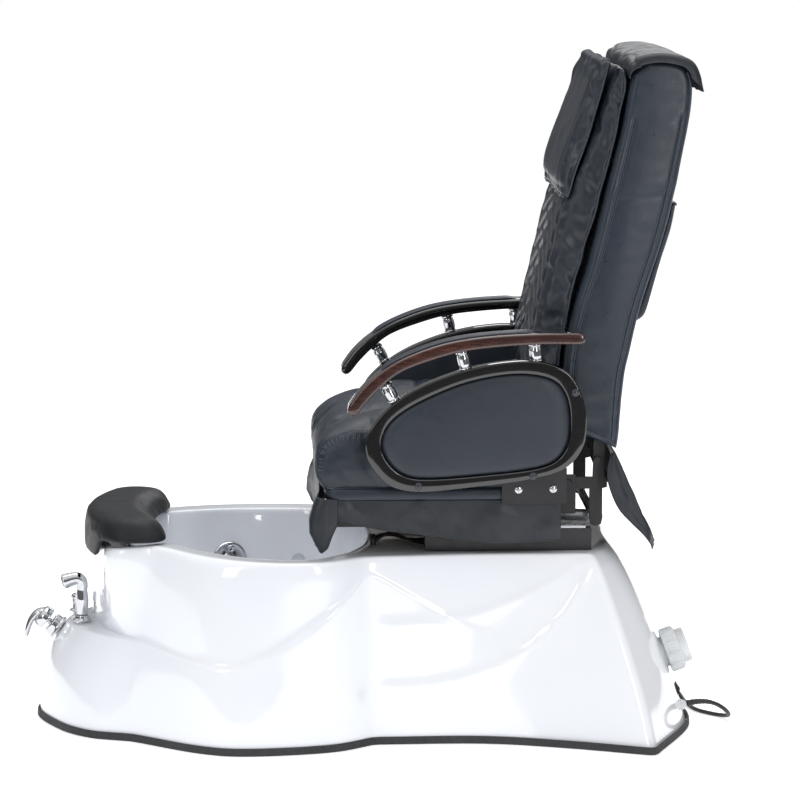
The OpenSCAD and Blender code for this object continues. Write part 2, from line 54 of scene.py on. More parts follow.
# ---------------------------------------------------------------- curves, all in mm
def cr(a, b, c, d, t):
    return 0.5 * (2 * b + (c - a) * t + (2 * a - 5 * b + 4 * c - d) * t * t + (3 * b - a - 3 * c + d) * t ** 3)


def loopc(p, n):
    p = np.asarray(p, float)
    m = len(p)
    return np.array([cr(p[(i - 1) % m], p[i], p[(i + 1) % m], p[(i + 2) % m], j / n) for i in range(m) for j in range(n)])


def openc(p, n):
    p = np.asarray(p, float)
    m = len(p)
    out = [cr(p[max(i - 1, 0)], p[i], p[i + 1], p[min(i + 2, m - 1)], j / n) for i in range(m - 1) for j in range(n)]
    return np.array(out + [p[-1]])


def resample(p, n, closed=False):
    p = np.asarray(p, float)
    q = np.vstack([p, p[:1]]) if closed else p
    s = np.concatenate([[0], np.cumsum(np.linalg.norm(np.diff(q, axis=0), axis=1))])
    t = np.linspace(0, s[-1], n + 1)[:-1] if closed else np.linspace(0, s[-1], n)
    return np.stack([np.interp(t, s, q[:, k]) for k in range(q.shape[1])], 1)


def length_of(p):
    return float(np.linalg.norm(np.diff(np.asarray(p, float), axis=0), axis=1).sum())


def sm(x, a, b):
    t = np.clip((np.asarray(x, float) - a) / (b - a), 0, 1)
    return t * t * (3 - 2 * t)


def unit_rows(v):
    return v / np.maximum(np.linalg.norm(v, axis=-1, keepdims=True), 1e-9)


def nz(p, scale, seed=0.0):
    """Smooth noise at points in mm, feature size 1/scale in mm."""
    s = Vector((seed * 17.3, seed * 5.1, seed * 9.7))
    return np.array([noise.noise(Vector(q) * scale + s) for q in p])


def nz_dir(p, scales, seed=0.0):
    """Noise stretched differently along each axis."""
    k = np.asarray(scales, float)
    s = np.array((seed * 13.1, seed * 7.7, seed * 3.3))
    return np.array([noise.noise(Vector(q)) for q in np.asarray(p) * k + s])


# ---------------------------------------------------------------- meshes
def obj_from(name, verts, faces, smooth=True):
    me = bpy.data.meshes.new(name)
    me.from_pydata([tuple(float(c) * 0.001 for c in v) for v in verts], [], [tuple(int(i) for i in f) for f in faces])
    me.validate()
    bm = bmesh.new()
    bm.from_mesh(me)
    bmesh.ops.recalc_face_normals(bm, faces=bm.faces)
    bm.to_mesh(me)
    bm.free()
    for poly in me.polygons:
        poly.use_smooth = smooth
    o = bpy.data.objects.new(name, me)
    scene.collection.objects.link(o)
    return o


def apply_mods(o):
    bpy.context.view_layer.update()
    dg = bpy.context.evaluated_depsgraph_get()
    me = bpy.data.meshes.new_from_object(o.evaluated_get(dg))
    o.modifiers.clear()
    old = o.data
    o.data = me
    me.name = old.name
    bpy.data.meshes.remove(old)
    for poly in me.polygons:
        poly.use_smooth = True
    return o


def subsurf(o, n=1):
    m = o.modifiers.new("s", "SUBSURF")
    m.levels = m.render_levels = n
    return apply_mods(o)


def thicken(o, mm, offset=0.0):
    m = o.modifiers.new("t", "SOLIDIFY")
    m.thickness = mm * 0.001
    m.offset = offset
    m.use_even_offset = False
    return apply_mods(o)


def coords(o):
    co = np.zeros(len(o.data.vertices) * 3)
    o.data.vertices.foreach_get("co", co)
    return co.reshape(-1, 3) * 1000


def set_coords(o, co):
    o.data.vertices.foreach_set("co", (np.asarray(co) * 0.001).ravel())
    o.data.update()


def vnormals(o):
    n = np.zeros(len(o.data.vertices) * 3)
    o.data.vertices.foreach_get("normal", n)
    return n.reshape(-1, 3)


def strips(rings, closed_u=False, closed_v=True):
    """Vertices and quads over a list of rings of the same size."""
    rings = np.asarray(rings, float)
    m, n = rings.shape[:2]
    f = []
    for i in range(m if closed_u else m - 1):
        for j in range(n if closed_v else n - 1):
            f.append((i * n + j, i * n + (j + 1) % n, ((i + 1) % m) * n + (j + 1) % n, ((i + 1) % m) * n + j))
    return rings.reshape(-1, 3), f


def loft(name, rings, closed_u=False, closed_v=True, caps=False):
    v, f = strips(rings, closed_u, closed_v)
    m, n = np.asarray(rings).shape[:2]
    if caps:
        f.append(tuple(range(n))[::-1])
        f.append(tuple((m - 1) * n + j for j in range(n)))
    return obj_from(name, v, f)


def lathe(profile, origin=(0, 0, 0), axis=(0, 0, 1), seg=40):
    """Rings for a surface of revolution. profile is (along, radius) in mm."""
    a = Vector(axis).normalized()
    s = a.orthogonal().normalized()
    t = a.cross(s)
    o = np.array(origin, float)
    a, s, t = (np.array(v) for v in (a, s, t))
    out = []
    for z, r in profile:
        r = max(r, 0.02)
        out.append([o + a * z + r * (math.cos(q) * s + math.sin(q) * t) for q in np.linspace(0, 2 * math.pi, seg, endpoint=False)])
    return out


def round_profile(pts, r=1.0, n=3):
    """Rounds the corners of an open polyline."""
    pts = [np.array(p, float) for p in pts]
    out = [pts[0]]
    for a, b, c in zip(pts, pts[1:], pts[2:]):
        la, lc = np.linalg.norm(a - b), np.linalg.norm(c - b)
        k = min(r, la * 0.45, lc * 0.45)
        p0, p1 = b + (a - b) / max(la, 1e-9) * k, b + (c - b) / max(lc, 1e-9) * k
        for i in range(n + 1):
            t = i / n
            out.append((1 - t) ** 2 * p0 + 2 * t * (1 - t) * b + t * t * p1)
    out.append(pts[-1])
    return out


def sweep(path, radii, sides=16, flat=1.0, up=(0, 0, 1)):
    """Rings swept along a path, with radii per point; flat squeezes it along the second direction."""
    path = np.asarray(path, float)
    radii = np.broadcast_to(np.asarray(radii, float), (len(path),))
    tang = unit_rows(np.gradient(path, axis=0))
    u = np.array(Vector(tang[0]).cross(Vector(up)).normalized()) if abs(np.dot(tang[0], up)) < 0.98 else np.array(Vector(tang[0]).orthogonal().normalized())
    rings = []
    for p, t, r in zip(path, tang, radii):
        u = u - t * np.dot(u, t)
        u = u / np.linalg.norm(u)
        w = np.cross(t, u)
        rings.append([p + r * (math.cos(q) * u + flat * math.sin(q) * w) for q in np.linspace(0, 2 * math.pi, sides, endpoint=False)])
    return rings


def tube_obj(name, path, r, sides=10, closed=False):
    p = np.asarray(path, float)
    if closed:
        p2 = np.vstack([p[-1:], p, p[:1]])
        rings = sweep(p2, r, sides)[1:-1]
        return loft(name, rings, closed_u=True)
    radii = np.full(len(p), float(r))
    rings = sweep(p, radii, sides)
    return loft(name, rings, caps=True)


def join(objs, name):
    bpy.context.view_layer.update()
    me = bpy.data.meshes.new(name)
    bm = bmesh.new()
    for o in objs:
        bm.from_mesh(o.data)
    bm.to_mesh(me)
    bm.free()
    for poly in me.polygons:
        poly.use_smooth = True
    out = bpy.data.objects.new(name, me)
    scene.collection.objects.link(out)
    for o in objs:
        old = o.data
        bpy.data.objects.remove(o)
        bpy.data.meshes.remove(old)
    return out


def offset2(P, d):
    """Closed outline in X and Z moved inwards by d."""
    T = unit_rows(np.roll(P, -1, 0) - np.roll(P, 1, 0))
    area = 0.5 * np.sum(P[:, 0] * np.roll(P[:, 1], -1) - np.roll(P[:, 0], -1) * P[:, 1])
    N = np.stack([T[:, 1], -T[:, 0]], 1) * (1 if area > 0 else -1)
    return P - N * np.asarray(d, float).reshape(-1, 1)


def slab(name, F, R, hw, r, M=10, ny=12, nr=5, bulge=0.0, yc=0.0, power=1.0):
    """Closed padded slab. F and R are its front and rear lines in X and Z, from bottom to top; hw half width in Y; r the rounding of its sides."""
    F, R = np.asarray(F, float), np.asarray(R, float)
    N = len(F)
    top = [F[-1] + (R[-1] - F[-1]) * j / M for j in range(1, M)]
    bot = [R[0] + (F[0] - R[0]) * j / M for j in range(1, M)]
    O = np.array([*F, *top, *R[::-1], *bot])
    n = len(O)
    th = np.linspace(0, math.pi / 2, nr + 1)
    side = [(hw - r + r * math.sin(t), r * (1 - math.cos(t))) for t in th]
    ys = [(-y, i) for y, i in side[::-1]]
    inner = np.linspace(-(hw - r), hw - r, ny + 1)[1:-1]
    ys += [(y, 0.0) for y in inner] + side
    rings = []
    for y, i in ys:
        q = offset2(O, i)
        rings.append(np.stack([q[:, 0], np.full(n, y + yc), q[:, 1]], 1))
    v, f = strips(rings)
    v = list(v)
    for end, base, sign in ((0, 0, -1), (1, (len(ys) - 1) * n, 1)):
        ring = rings[0] if end == 0 else rings[-1]
        idx = {}
        for i in range(N):
            for j in range(M + 1):
                if j == 0:
                    idx[i, j] = base + i
                elif j == M:
                    idx[i, j] = base + N + (M - 1) + (N - 1 - i)
                elif i == N - 1:
                    idx[i, j] = base + N + j - 1
                elif i == 0:
                    idx[i, j] = base + N + (M - 1) + N + (M - j) - 1
                else:
                    a, b = ring[i], ring[N + (M - 1) + (N - 1 - i)]
                    p = a + (b - a) * j / M
                    k = (math.sin(math.pi * j / M) * math.sin(math.pi * i / (N - 1))) ** power
                    p = p + np.array([0, sign * bulge * k, 0])
                    idx[i, j] = len(v)
                    v.append(p)
        for i in range(N - 1):
            for j in range(M):
                f.append((idx[i, j], idx[i + 1, j], idx[i + 1, j + 1], idx[i, j + 1]))
    return obj_from(name, v, f)


def remesh(o, voxel):
    m = o.modifiers.new("r", "REMESH")
    m.mode = "VOXEL"
    m.voxel_size = voxel * 0.001
    m.use_smooth_shade = True
    return apply_mods(o)


def smooth(o, n=4, f=0.5):
    m = o.modifiers.new("sm", "SMOOTH")
    m.factor = f
    m.iterations = n
    return apply_mods(o)


def puff(o, cap, voxel=6.0, pressure=4.0, pin=None, shrink=-0.02, bend=0.4, after=1):
    """Swells a closed form with a pressure cloth, with every point kept within cap mm of where it began."""
    remesh(o, voxel)
    smooth(o, 3)
    rest = coords(o)
    if pin is not None:
        w = np.clip(pin(rest, vnormals(o)), 0, 1)
        g = o.vertex_groups.new(name="pin")
        for i in np.nonzero(w > 0.01)[0]:
            g.add([int(i)], float(w[i]), "REPLACE")
    c = o.modifiers.new("cloth", "CLOTH")
    s = c.settings
    s.quality = 4
    s.mass = 0.35
    s.tension_stiffness = s.compression_stiffness = 12
    s.shear_stiffness = 6
    s.bending_stiffness = bend
    s.use_pressure = True
    s.uniform_pressure_force = pressure
    s.shrink_min = shrink
    s.effector_weights.gravity = 0
    if pin is not None:
        s.vertex_group_mass = "pin"
    c.collision_settings.use_collision = False
    c.collision_settings.use_self_collision = False
    c.point_cache.frame_start = 1
    c.point_cache.frame_end = 20
    scene.frame_start, scene.frame_end = 1, 20
    for fr in range(1, 21):
        scene.frame_set(fr)
    dg = bpy.context.evaluated_depsgraph_get()
    ev = o.evaluated_get(dg)
    now = np.zeros(len(ev.data.vertices) * 3)
    ev.data.vertices.foreach_get("co", now)
    now = now.reshape(-1, 3) * 1000
    o.modifiers.remove(c)
    o.vertex_groups.clear()
    d = now - rest
    d[~np.isfinite(d).all(1)] = 0
    L = np.linalg.norm(d, axis=1, keepdims=True)
    d = d * (np.tanh(L / cap) * cap / np.maximum(L, 1e-6))
    set_coords(o, rest + d)
    scene.frame_set(1)
    smooth(o, 2, 0.4)
    if after:
        subsurf(o, after)
    return o


def near_dist(pts, path):
    k = kdtree.KDTree(len(path))
    for i, p in enumerate(path):
        k.insert(Vector(p), i)
    k.balance()
    return np.array([k.find(Vector(p))[2] for p in pts])


def press_seams(o, seams, depth=4.0, width=5.0):
    """Pulls the surface in along lines, as a sewn seam does."""
    co, nor = coords(o), vnormals(o)
    for line in seams:
        q = resample(line, max(3, int(length_of(line) / 2.5)))
        d = near_dist(co, q)
        co = co - nor * (depth * np.exp(-(d / width) ** 2))[:, None]
    set_coords(o, co)
    return o


def bvh_of(o):
    m = o.data
    return BVHTree.FromPolygons([v.co * 1000 for v in m.vertices], [list(p.vertices) for p in m.polygons])


def on_surface(tree, pts, lift=0.0, reach=40.0):
    out, nn = [], []
    for p in pts:
        loc, n, _, _ = tree.find_nearest(Vector(p), reach)
        if loc is None:
            loc, n = Vector(p), Vector((0, 0, 1))
        out.append(np.array(loc + n * lift))
        nn.append(np.array(n))
    return np.array(out), np.array(nn)


def piping(name, o, line, r=2.4, lift=0.6, sides=8, step=6.0, closed=False):
    tree = bvh_of(o)
    q = resample(line, max(4, int(length_of(line) / step)), closed)
    p, _ = on_surface(tree, q, lift)
    for _ in range(4):
        p[1:-1] = 0.5 * p[1:-1] + 0.25 * (p[:-2] + p[2:])
    return tube_obj(name, p, r, sides, closed)


def stitches(name, o, line, spacing=5.5, ln=3.6, r=0.45, lift=0.25, across=False, off=0.0):
    tree = bvh_of(o)
    total = length_of(line)
    q = resample(line, max(3, int(total / spacing)))
    tang = unit_rows(np.gradient(q, axis=0))
    p, n = on_surface(tree, q, lift)
    vs, fs = [], []
    for a, t, m in zip(p, tang, n):
        t = t - m * np.dot(t, m)
        t = t / max(np.linalg.norm(t), 1e-9)
        side = np.cross(m, t)
        d = side if across else t
        w = t if across else side
        c = a + side * off
        base = len(vs)
        for k, (s, rr) in enumerate(((-0.5, 0.35), (-0.36, 1), (0.36, 1), (0.5, 0.35))):
            for q6 in range(6):
                ang = q6 * math.pi / 3
                vs.append(c + d * ln * s + rr * r * (math.cos(ang) * w + math.sin(ang) * m) - m * (r * 0.5 if k in (0, 3) else 0))
        for k in range(3):
            for j in range(6):
                fs.append((base + k * 6 + j, base + k * 6 + (j + 1) % 6, base + (k + 1) * 6 + (j + 1) % 6, base + (k + 1) * 6 + j))
        fs.append(tuple(base + j for j in range(6))[::-1])
        fs.append(tuple(base + 18 + j for j in range(6)))
    return obj_from(name, vs, fs)


# ---------------------------------------------------------------- materials
def lin(c):
    return tuple((v / 255 / 12.92) if v / 255 <= 0.04045 else ((v / 255 + 0.055) / 1.055) ** 2.4 for v in c)


class Mat:
    def __init__(self, name):
        self.m = bpy.data.materials.new(name)
        self.m.use_nodes = True
        self.t = self.m.node_tree
        self.t.nodes.clear()
        out = self.n("OutputMaterial")
        self.b = self.n("BsdfPrincipled")
        self.t.links.new(self.b.outputs[0], out.inputs[0])
        self.co = self.n("TexCoord").outputs["Object"]
        self.h = None

    def n(self, kind):
        return self.t.nodes.new("ShaderNode" + kind)

    def link(self, a, b):
        self.t.links.new(a, b)

    def set(self, **kw):
        for k, v in kw.items():
            self.b.inputs[k.replace("_", " ")].default_value = v
        return self

    def stretch(self, s, rot=(0, 0, 0)):
        m = self.n("Mapping")
        m.inputs["Scale"].default_value = s
        m.inputs["Rotation"].default_value = rot
        self.link(self.co, m.inputs["Vector"])
        return m.outputs[0]

    def noise(self, scale, detail=3, rough=0.5, dist=0.0, vec=None):
        k = self.n("TexNoise")
        k.inputs["Scale"].default_value = scale
        k.inputs["Detail"].default_value = detail
        k.inputs["Roughness"].default_value = rough
        k.inputs["Distortion"].default_value = dist
        self.link(vec or self.co, k.inputs["Vector"])
        return k.outputs["Fac"]

    def cells(self, scale, feature="F1", vec=None, rand=1.0):
        k = self.n("TexVoronoi")
        k.feature = feature
        k.inputs["Scale"].default_value = scale
        k.inputs["Randomness"].default_value = rand
        self.link(vec or self.co, k.inputs["Vector"])
        return k.outputs["Distance"]

    def ramp(self, fac, stops):
        k = self.n("ValToRGB")
        e = k.color_ramp.elements
        while len(e) < len(stops):
            e.new(0.5)
        for el, (pos, col) in zip(e, stops):
            el.position = pos
            el.color = (*col, 1) if len(col) == 3 else col
        self.link(fac, k.inputs["Fac"])
        return k.outputs["Color"]

    def range(self, fac, lo, hi, a=0.0, b=1.0):
        k = self.n("MapRange")
        k.inputs["From Min"].default_value = a
        k.inputs["From Max"].default_value = b
        k.inputs["To Min"].default_value = lo
        k.inputs["To Max"].default_value = hi
        self.link(fac, k.inputs["Value"])
        return k.outputs["Result"]

    def mix(self, fac, a, b, mode="MIX"):
        k = self.n("Mix")
        k.data_type = "RGBA"
        k.blend_type = mode
        for s, v in ((k.inputs[0], fac), (k.inputs[6], a), (k.inputs[7], b)):
            if hasattr(v, "node"):
                self.link(v, s)
            elif isinstance(v, (int, float)):
                s.default_value = v
            else:
                s.default_value = (*v, 1)
        return k.outputs[2]

    def bump(self, fac, dist, strength=1.0):
        k = self.n("Bump")
        k.inputs["Strength"].default_value = strength
        k.inputs["Distance"].default_value = dist
        self.link(fac, k.inputs["Height"])
        if self.h is not None:
            self.link(self.h, k.inputs["Normal"])
        self.h = k.outputs["Normal"]
        self.link(self.h, self.b.inputs["Normal"])
        return self

    def color(self, sock):
        self.link(sock, self.b.inputs["Base Color"])
        return self

    def rough(self, sock):
        self.link(sock, self.b.inputs["Roughness"])
        return self

    def edge(self, lo=0.5, hi=0.62):
        g = self.n("NewGeometry")
        return self.range(g.outputs["Pointiness"], 0, 1, lo, hi)


def leather(name, rgb, rough=0.42, grain=850, wrinkle=0.0012, spec=0.5, sheen=0.0, coat=0.0, light=1.25):
    m = Mat(name)
    c = np.array(lin(rgb))
    big, fine = m.noise(5.5, 4, 0.55), m.noise(140, 3)
    col = m.mix(m.range(big, 0, 1, 0.3, 0.7), tuple(c * 0.86), tuple(np.minimum(c * 1.14, 1)))
    col = m.mix(m.range(fine, 0, 0.25, 0.45, 0.75), col, tuple(np.minimum(c * light, 1)))
    col = m.mix(m.range(m.cells(grain), 0.0, 0.15, 0.25, 0.7), col, tuple(c * 0.6))
    col = m.mix(m.range(m.edge(0.52, 0.66), 0, 0.5), col, tuple(np.minimum(c * 1.9 + 0.004, 1)))
    m.color(col)
    m.rough(m.range(m.noise(36, 4, 0.6), rough - 0.07, rough + 0.09, 0.3, 0.7))
    m.bump(m.noise(26, 4, 0.5), wrinkle, 0.55)
    m.bump(m.cells(grain), 0.00014, 0.5)
    m.bump(m.noise(grain * 2.4, 2), 0.0001, 0.4)
    m.set(Specular_IOR_Level=spec, Sheen_Weight=sheen, Coat_Weight=coat, Coat_Roughness=0.25)
    return m.m


def gloss_paint(name, c, rough=0.1, coat=1.0, peel=0.00006):
    m = Mat(name)
    c = np.array(c)
    m.color(m.mix(m.range(m.noise(9, 4), 0, 1, 0.35, 0.65), tuple(c * 0.9), tuple(np.minimum(c * 1.15 + 0.001, 1))))
    m.rough(m.range(m.noise(60, 5, 0.65), rough * 0.7, rough * 1.6, 0.3, 0.7))
    m.bump(m.noise(120, 2), peel, 0.5)
    m.set(Coat_Weight=coat, Coat_Roughness=0.03, Coat_IOR=1.5)
    return m.m


def powder(name, c, rough=0.45, grain=1400, depth=0.0002, metal=0.0, wear=2.2):
    m = Mat(name)
    c = np.array(c)
    col = m.mix(m.range(m.noise(14, 4), 0, 1, 0.35, 0.65), tuple(c * 0.85), tuple(np.minimum(c * 1.2, 1)))
    col = m.mix(m.range(m.noise(300, 3), 0, 0.3, 0.5, 0.8), col, tuple(np.minimum(c * 1.5, 1)))
    col = m.mix(m.range(m.edge(0.53, 0.7), 0, 0.55), col, tuple(np.minimum(c * wear + 0.01, 1)))
    m.color(col)
    m.rough(m.range(m.noise(45, 5, 0.6), rough - 0.08, rough + 0.1, 0.3, 0.7))
    m.bump(m.noise(grain, 2, 0.6), depth, 0.5)
    m.set(Metallic=metal)
    return m.m


def metal(name, c, rough=0.08, brushed=0.0, dark=0.85):
    m = Mat(name)
    c = np.array(c)
    v = m.stretch((1, 1, 14)) if brushed else None
    m.color(m.mix(m.range(m.noise(22, 4, 0.6), 0, 1, 0.3, 0.7), tuple(c * dark), tuple(c)))
    m.rough(m.range(m.noise(70, 6, 0.7, vec=v), rough * 0.6, rough * 1.7, 0.3, 0.75))
    m.bump(m.noise(500, 3, vec=v), 0.00002 + brushed, 0.3)
    m.set(Metallic=1.0)
    return m.m


MATS = {}
m = Mat("acrylic")
col = m.mix(m.range(m.noise(2.2, 3), 0, 1, 0.35, 0.65), (0.83, 0.855, 0.91), (0.875, 0.895, 0.93))
m.color(m.mix(m.range(m.noise(400, 2), 0, 0.06, 0.6, 0.8), col, (0.80, 0.82, 0.86)))
m.rough(m.range(m.noise(18, 5, 0.6), 0.07, 0.15, 0.3, 0.7))
m.bump(m.noise(45, 2), 0.00012, 0.35)
m.set(Coat_Weight=0.7, Coat_Roughness=0.03, Specular_IOR_Level=0.55, Subsurface_Weight=0.0)
MATS["acrylic"] = m.m
m = Mat("rubber")
col = m.mix(m.range(m.noise(8, 4), 0, 1, 0.3, 0.7), (0.014, 0.015, 0.017), (0.028, 0.029, 0.032))
m.color(m.mix(m.range(m.noise(260, 4, 0.7), 0, 0.5, 0.55, 0.8), col, (0.06, 0.06, 0.062)))
m.rough(m.range(m.noise(90, 4), 0.38, 0.6, 0.3, 0.7))
m.bump(m.noise(900, 3), 0.00015, 0.5)
MATS["rubber"] = m.m
MATS["leather"] = leather("leather", (33, 41, 52), 0.38, 850, 0.0010)
MATS["leather_back"] = leather("leather_back", (40, 49, 60), 0.33, 800, 0.0008)
MATS["leather_pad"] = leather("leather_pad", (36, 42, 51), 0.38, 850, 0.0016)
MATS["leather_panel"] = leather("leather_panel", (38, 45, 55), 0.42, 950, 0.0006)
MATS["flap"] = leather("flap", (31, 36, 43), 0.42, 700, 0.0022)
# piping: leather for the welts and bindings, lighter than the panel leathers; the lightness is partly their own tone
# and partly a painted highlight for the bright line along the welts
MATS["piping"] = leather("piping", (50, 58, 69), 0.34, 1200, 0.0004)
MATS["foam"] = leather("foam", (19, 22, 26), 0.46, 1500, 0.0002, spec=0.32, light=1.05)
MATS["lacquer"] = gloss_paint("lacquer", (0.004, 0.004, 0.0045), 0.07)
MATS["chrome"] = metal("chrome", (0.62, 0.63, 0.655), 0.05)
MATS["chrome_dark"] = metal("chrome_dark", (0.42, 0.43, 0.45), 0.14)
MATS["steel"] = metal("steel", (0.62, 0.63, 0.65), 0.24, 0.00001)
MATS["strut"] = powder("strut", (0.36, 0.37, 0.39), 0.3, 1800, 0.0001, 0.6, 1.3)
MATS["black_steel"] = powder("black_steel", (0.012, 0.012, 0.014), 0.36)
MATS["black_plastic"] = powder("black_plastic", (0.016, 0.016, 0.018), 0.42, 1100)
MATS["stud"] = powder("stud", (0.035, 0.04, 0.05), 0.2, 1500, 0.00008)
MATS["pvc"] = powder("pvc", (0.66, 0.68, 0.69), 0.3, 700, 0.0001, 0.0, 1.1)
MATS["grey_housing"] = powder("grey_housing", (0.07, 0.075, 0.085), 0.5, 900)
MATS["cord"] = powder("cord", (0.01, 0.01, 0.012), 0.4, 1500)
MATS["roller"] = powder("roller", (0.26, 0.10, 0.04), 0.4, 600)
m = Mat("mahogany")
v = m.stretch((5, 60, 60), (0, 0.22, 0))
v2 = m.stretch((1.6, 26, 26), (0, 0.22, 0))
g1 = m.noise(4.0, 6, 0.62, 1.4, v)
g2 = m.noise(3.0, 3, 0.5, 0.7, v2)
col = m.ramp(g1, [(0.28, (0.012, 0.0016, 0.0006)), (0.5, (0.046, 0.0075, 0.0022)), (0.74, (0.12, 0.026, 0.007))])
m.color(m.mix(m.range(g2, 0, 0.75, 0.35, 0.7), col, (0.020, 0.0030, 0.0013)))
m.rough(m.range(g1, 0.2, 0.34, 0.3, 0.7))
m.bump(m.noise(60, 2), 0.00005, 0.4)
m.set(Coat_Weight=1.0, Coat_Roughness=0.03)
MATS["mahogany"] = m.m
m = Mat("plywood")
v = m.stretch((3, 40, 40))
m.color(m.ramp(m.noise(5, 5, 0.6, 0.8, v), [(0.3, (0.26, 0.15, 0.07)), (0.7, (0.48, 0.32, 0.17))]))
m.rough(m.range(m.noise(30, 4), 0.55, 0.75))
m.bump(m.noise(300, 3, vec=v), 0.0002, 0.5)
MATS["plywood"] = m.m
m = Mat("thread")
m.color(m.mix(m.range(m.noise(900, 2), 0, 1, 0.4, 0.6), lin((62, 74, 90)), lin((88, 102, 120))))
m.rough(m.range(m.noise(600, 2), 0.45, 0.6))
m.bump(m.noise(2600, 2), 0.0001, 0.6)
MATS["thread"] = m.m
m = Mat("lens")
m.color(m.mix(m.range(m.noise(60, 3), 0, 1), (0.55, 0.6, 0.66), (0.75, 0.79, 0.83)))
m.rough(m.range(m.noise(200, 3), 0.06, 0.14))
m.bump(m.cells(420), 0.0002, 0.6)
m.set(Coat_Weight=1.0, Coat_Roughness=0.03)
MATS["lens"] = m.m

NUMBER = {"n": 0}


def put(o, body, mat, nodes=()):
    o.data.materials.clear()
    o.data.materials.append(MATS[mat])
    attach(o, body)
    if nodes:
        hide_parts(*nodes)
    return o

# ---------------------------------------------------------------- the moulded base
NET = [
 [[-640,0,0],[-636,0,88],[-615,0,152],[-583,0,192],[-533,0,196],[-534,0,265],[-532,0,335],[-520,0,356],[-478,0,354],[-477,0,343]],
 [[-594,-136,0],[-591,-134,86],[-573,-124,152],[-545,-112,192],[-508,-98,196],[-512,-108,265],[-514,-115,340],[-505,-112,362],[-466,-96,360],[-465,-95,349]],
 [[-532,-214,0],[-527,-208,75],[-516,-196,150],[-496,-180,190],[-474,-172,196],[-484,-192,265],[-492,-206,345],[-484,-202,370],[-438,-164,368],[-437,-163,357]],
 [[-448,-250,0],[-446,-244,75],[-443,-235,150],[-440,-227,188],[-436,-220,194],[-424,-221,265],[-412,-224,345],[-405,-219,376],[-382,-178,374],[-382,-177,363]],
 [[-318,-353,0],[-318,-348,75],[-318,-340,140],[-318,-335,164],[-318,-327,172],[-315,-319,265],[-310,-312,345],[-303,-300,368],[-285,-252,366],[-285,-251,355]],
 [[-223,-381,0],[-222,-375,75],[-220,-366,140],[-219,-362,172],[-218,-354,180],[-212,-348,265],[-205,-344,342],[-200,-337,363],[-192,-286,361],[-192,-285,350]],
 [[-72,-354,0],[-72,-352,75],[-74,-348,180],[-76,-346,258],[-78,-339,267],[-82,-338,305],[-86,-338,345],[-90,-334,362],[-98,-282,360],[-98,-281,349]],
 [[15,-292,0],[14,-292,75],[10,-292,200],[4,-291,335],[3,-288,341],[2,-287,348],[1,-285,354],[-2,-279,363],[-30,-222,361],[-31,-221,350]],
 [[217,-291,0],[217,-289,75],[217,-282,160],[217,-276,215],[217,-274,228],[217,-268,290],[217,-263,345],[217,-256,363],[-8,-168,361],[-9,-167,350]],
 [[367,-330,0],[364,-317,75],[360,-301,160],[356,-290,215],[355,-287,228],[352,-276,290],[350,-265,345],[348,-256,363],[4,-126,361],[3,-125,350]],
 [[541,-401,0],[527,-374,75],[503,-343,160],[486,-322,215],[482,-317,228],[462,-293,290],[443,-270,345],[432,-257,363],[10,-84,361],[9,-83,350]],
 [[627,-165,0],[604,-167,75],[573,-168,160],[550,-168,215],[545,-168,228],[518,-169,290],[488,-170,345],[466,-166,364],[14,-42,361],[13,-41,350]],
 [[627,0,0],[605,0,75],[573,0,160],[552,0,215],[547,0,228],[520,0,290],[487,0,345],[468,0,364],[15,0,361],[14,0,350]]]
NET = np.array(NET, float)


CREASES = {3: 0.75, 7: 1.0, 10: 1.0}


def ring_at(k, n=16):
    """Level k of the moulding as a closed loop, with creases at the stations in CREASES."""
    h = NET[:, k]
    P = np.vstack([h, (h * [1, -1, 1])[-2:0:-1]])
    m = len(P)
    share = {}
    for c, w in CREASES.items():
        share[c] = share[m - c] = w
    t = np.linspace(0, 1, n, endpoint=False)[:, None]
    out = []
    for i in range(m):
        a, b, c, d = P[i - 1], P[i], P[(i + 1) % m], P[(i + 2) % m]
        ta, tb = (c - a) / 2, (d - b) / 2
        wa, wb = share.get(i, 0.0), share.get((i + 1) % m, 0.0)
        ta = ta * (1 - wa) + (c - b) * wa
        tb = tb * (1 - wb) + (c - b) * wb
        out.append((2 * t ** 3 - 3 * t ** 2 + 1) * b + (t ** 3 - 2 * t ** 2 + t) * ta + (-2 * t ** 3 + 3 * t ** 2) * c + (t ** 3 - t ** 2) * tb)
    out = np.concatenate(out)
    for _ in range(2):
        sm_ = 0.25 * np.roll(out, 1, 0) + 0.5 * out + 0.25 * np.roll(out, -1, 0)
        for c, w in share.items():
            i = c * n
            out[i] = sm_[i]
            out[(i - 1) % len(out)] = 0.5 * (out[(i - 1) % len(out)] + sm_[(i - 1) % len(out)])
            out[(i + 1) % len(out)] = 0.5 * (out[(i + 1) % len(out)] + sm_[(i + 1) % len(out)])
    return out


def inward(p, t, a=-330.0, b=420.0):
    v = np.stack([np.clip(p[:, 0], a, b) - p[:, 0], -p[:, 1], np.zeros(len(p))], 1)
    return p + np.asarray(t, float) * unit_rows(v)


def hold(rings, spots):
    """Adds rings beside level k, this many mm before and after it, so that its edge stays crisp."""
    out = []
    for k, p in enumerate(rings):
        if k in spots and k > 0:
            d = rings[k - 1] - p
            L = np.linalg.norm(d, axis=1, keepdims=True)
            out.append(p + d / np.maximum(L, 1e-6) * np.minimum(spots[k], L * 0.4))
        out.append(p)
        if k in spots and k < len(rings) - 1:
            d = rings[k + 1] - p
            L = np.linalg.norm(d, axis=1, keepdims=True)
            out.append(p + d / np.maximum(L, 1e-6) * np.minimum(spots[k], L * 0.4))
    return out


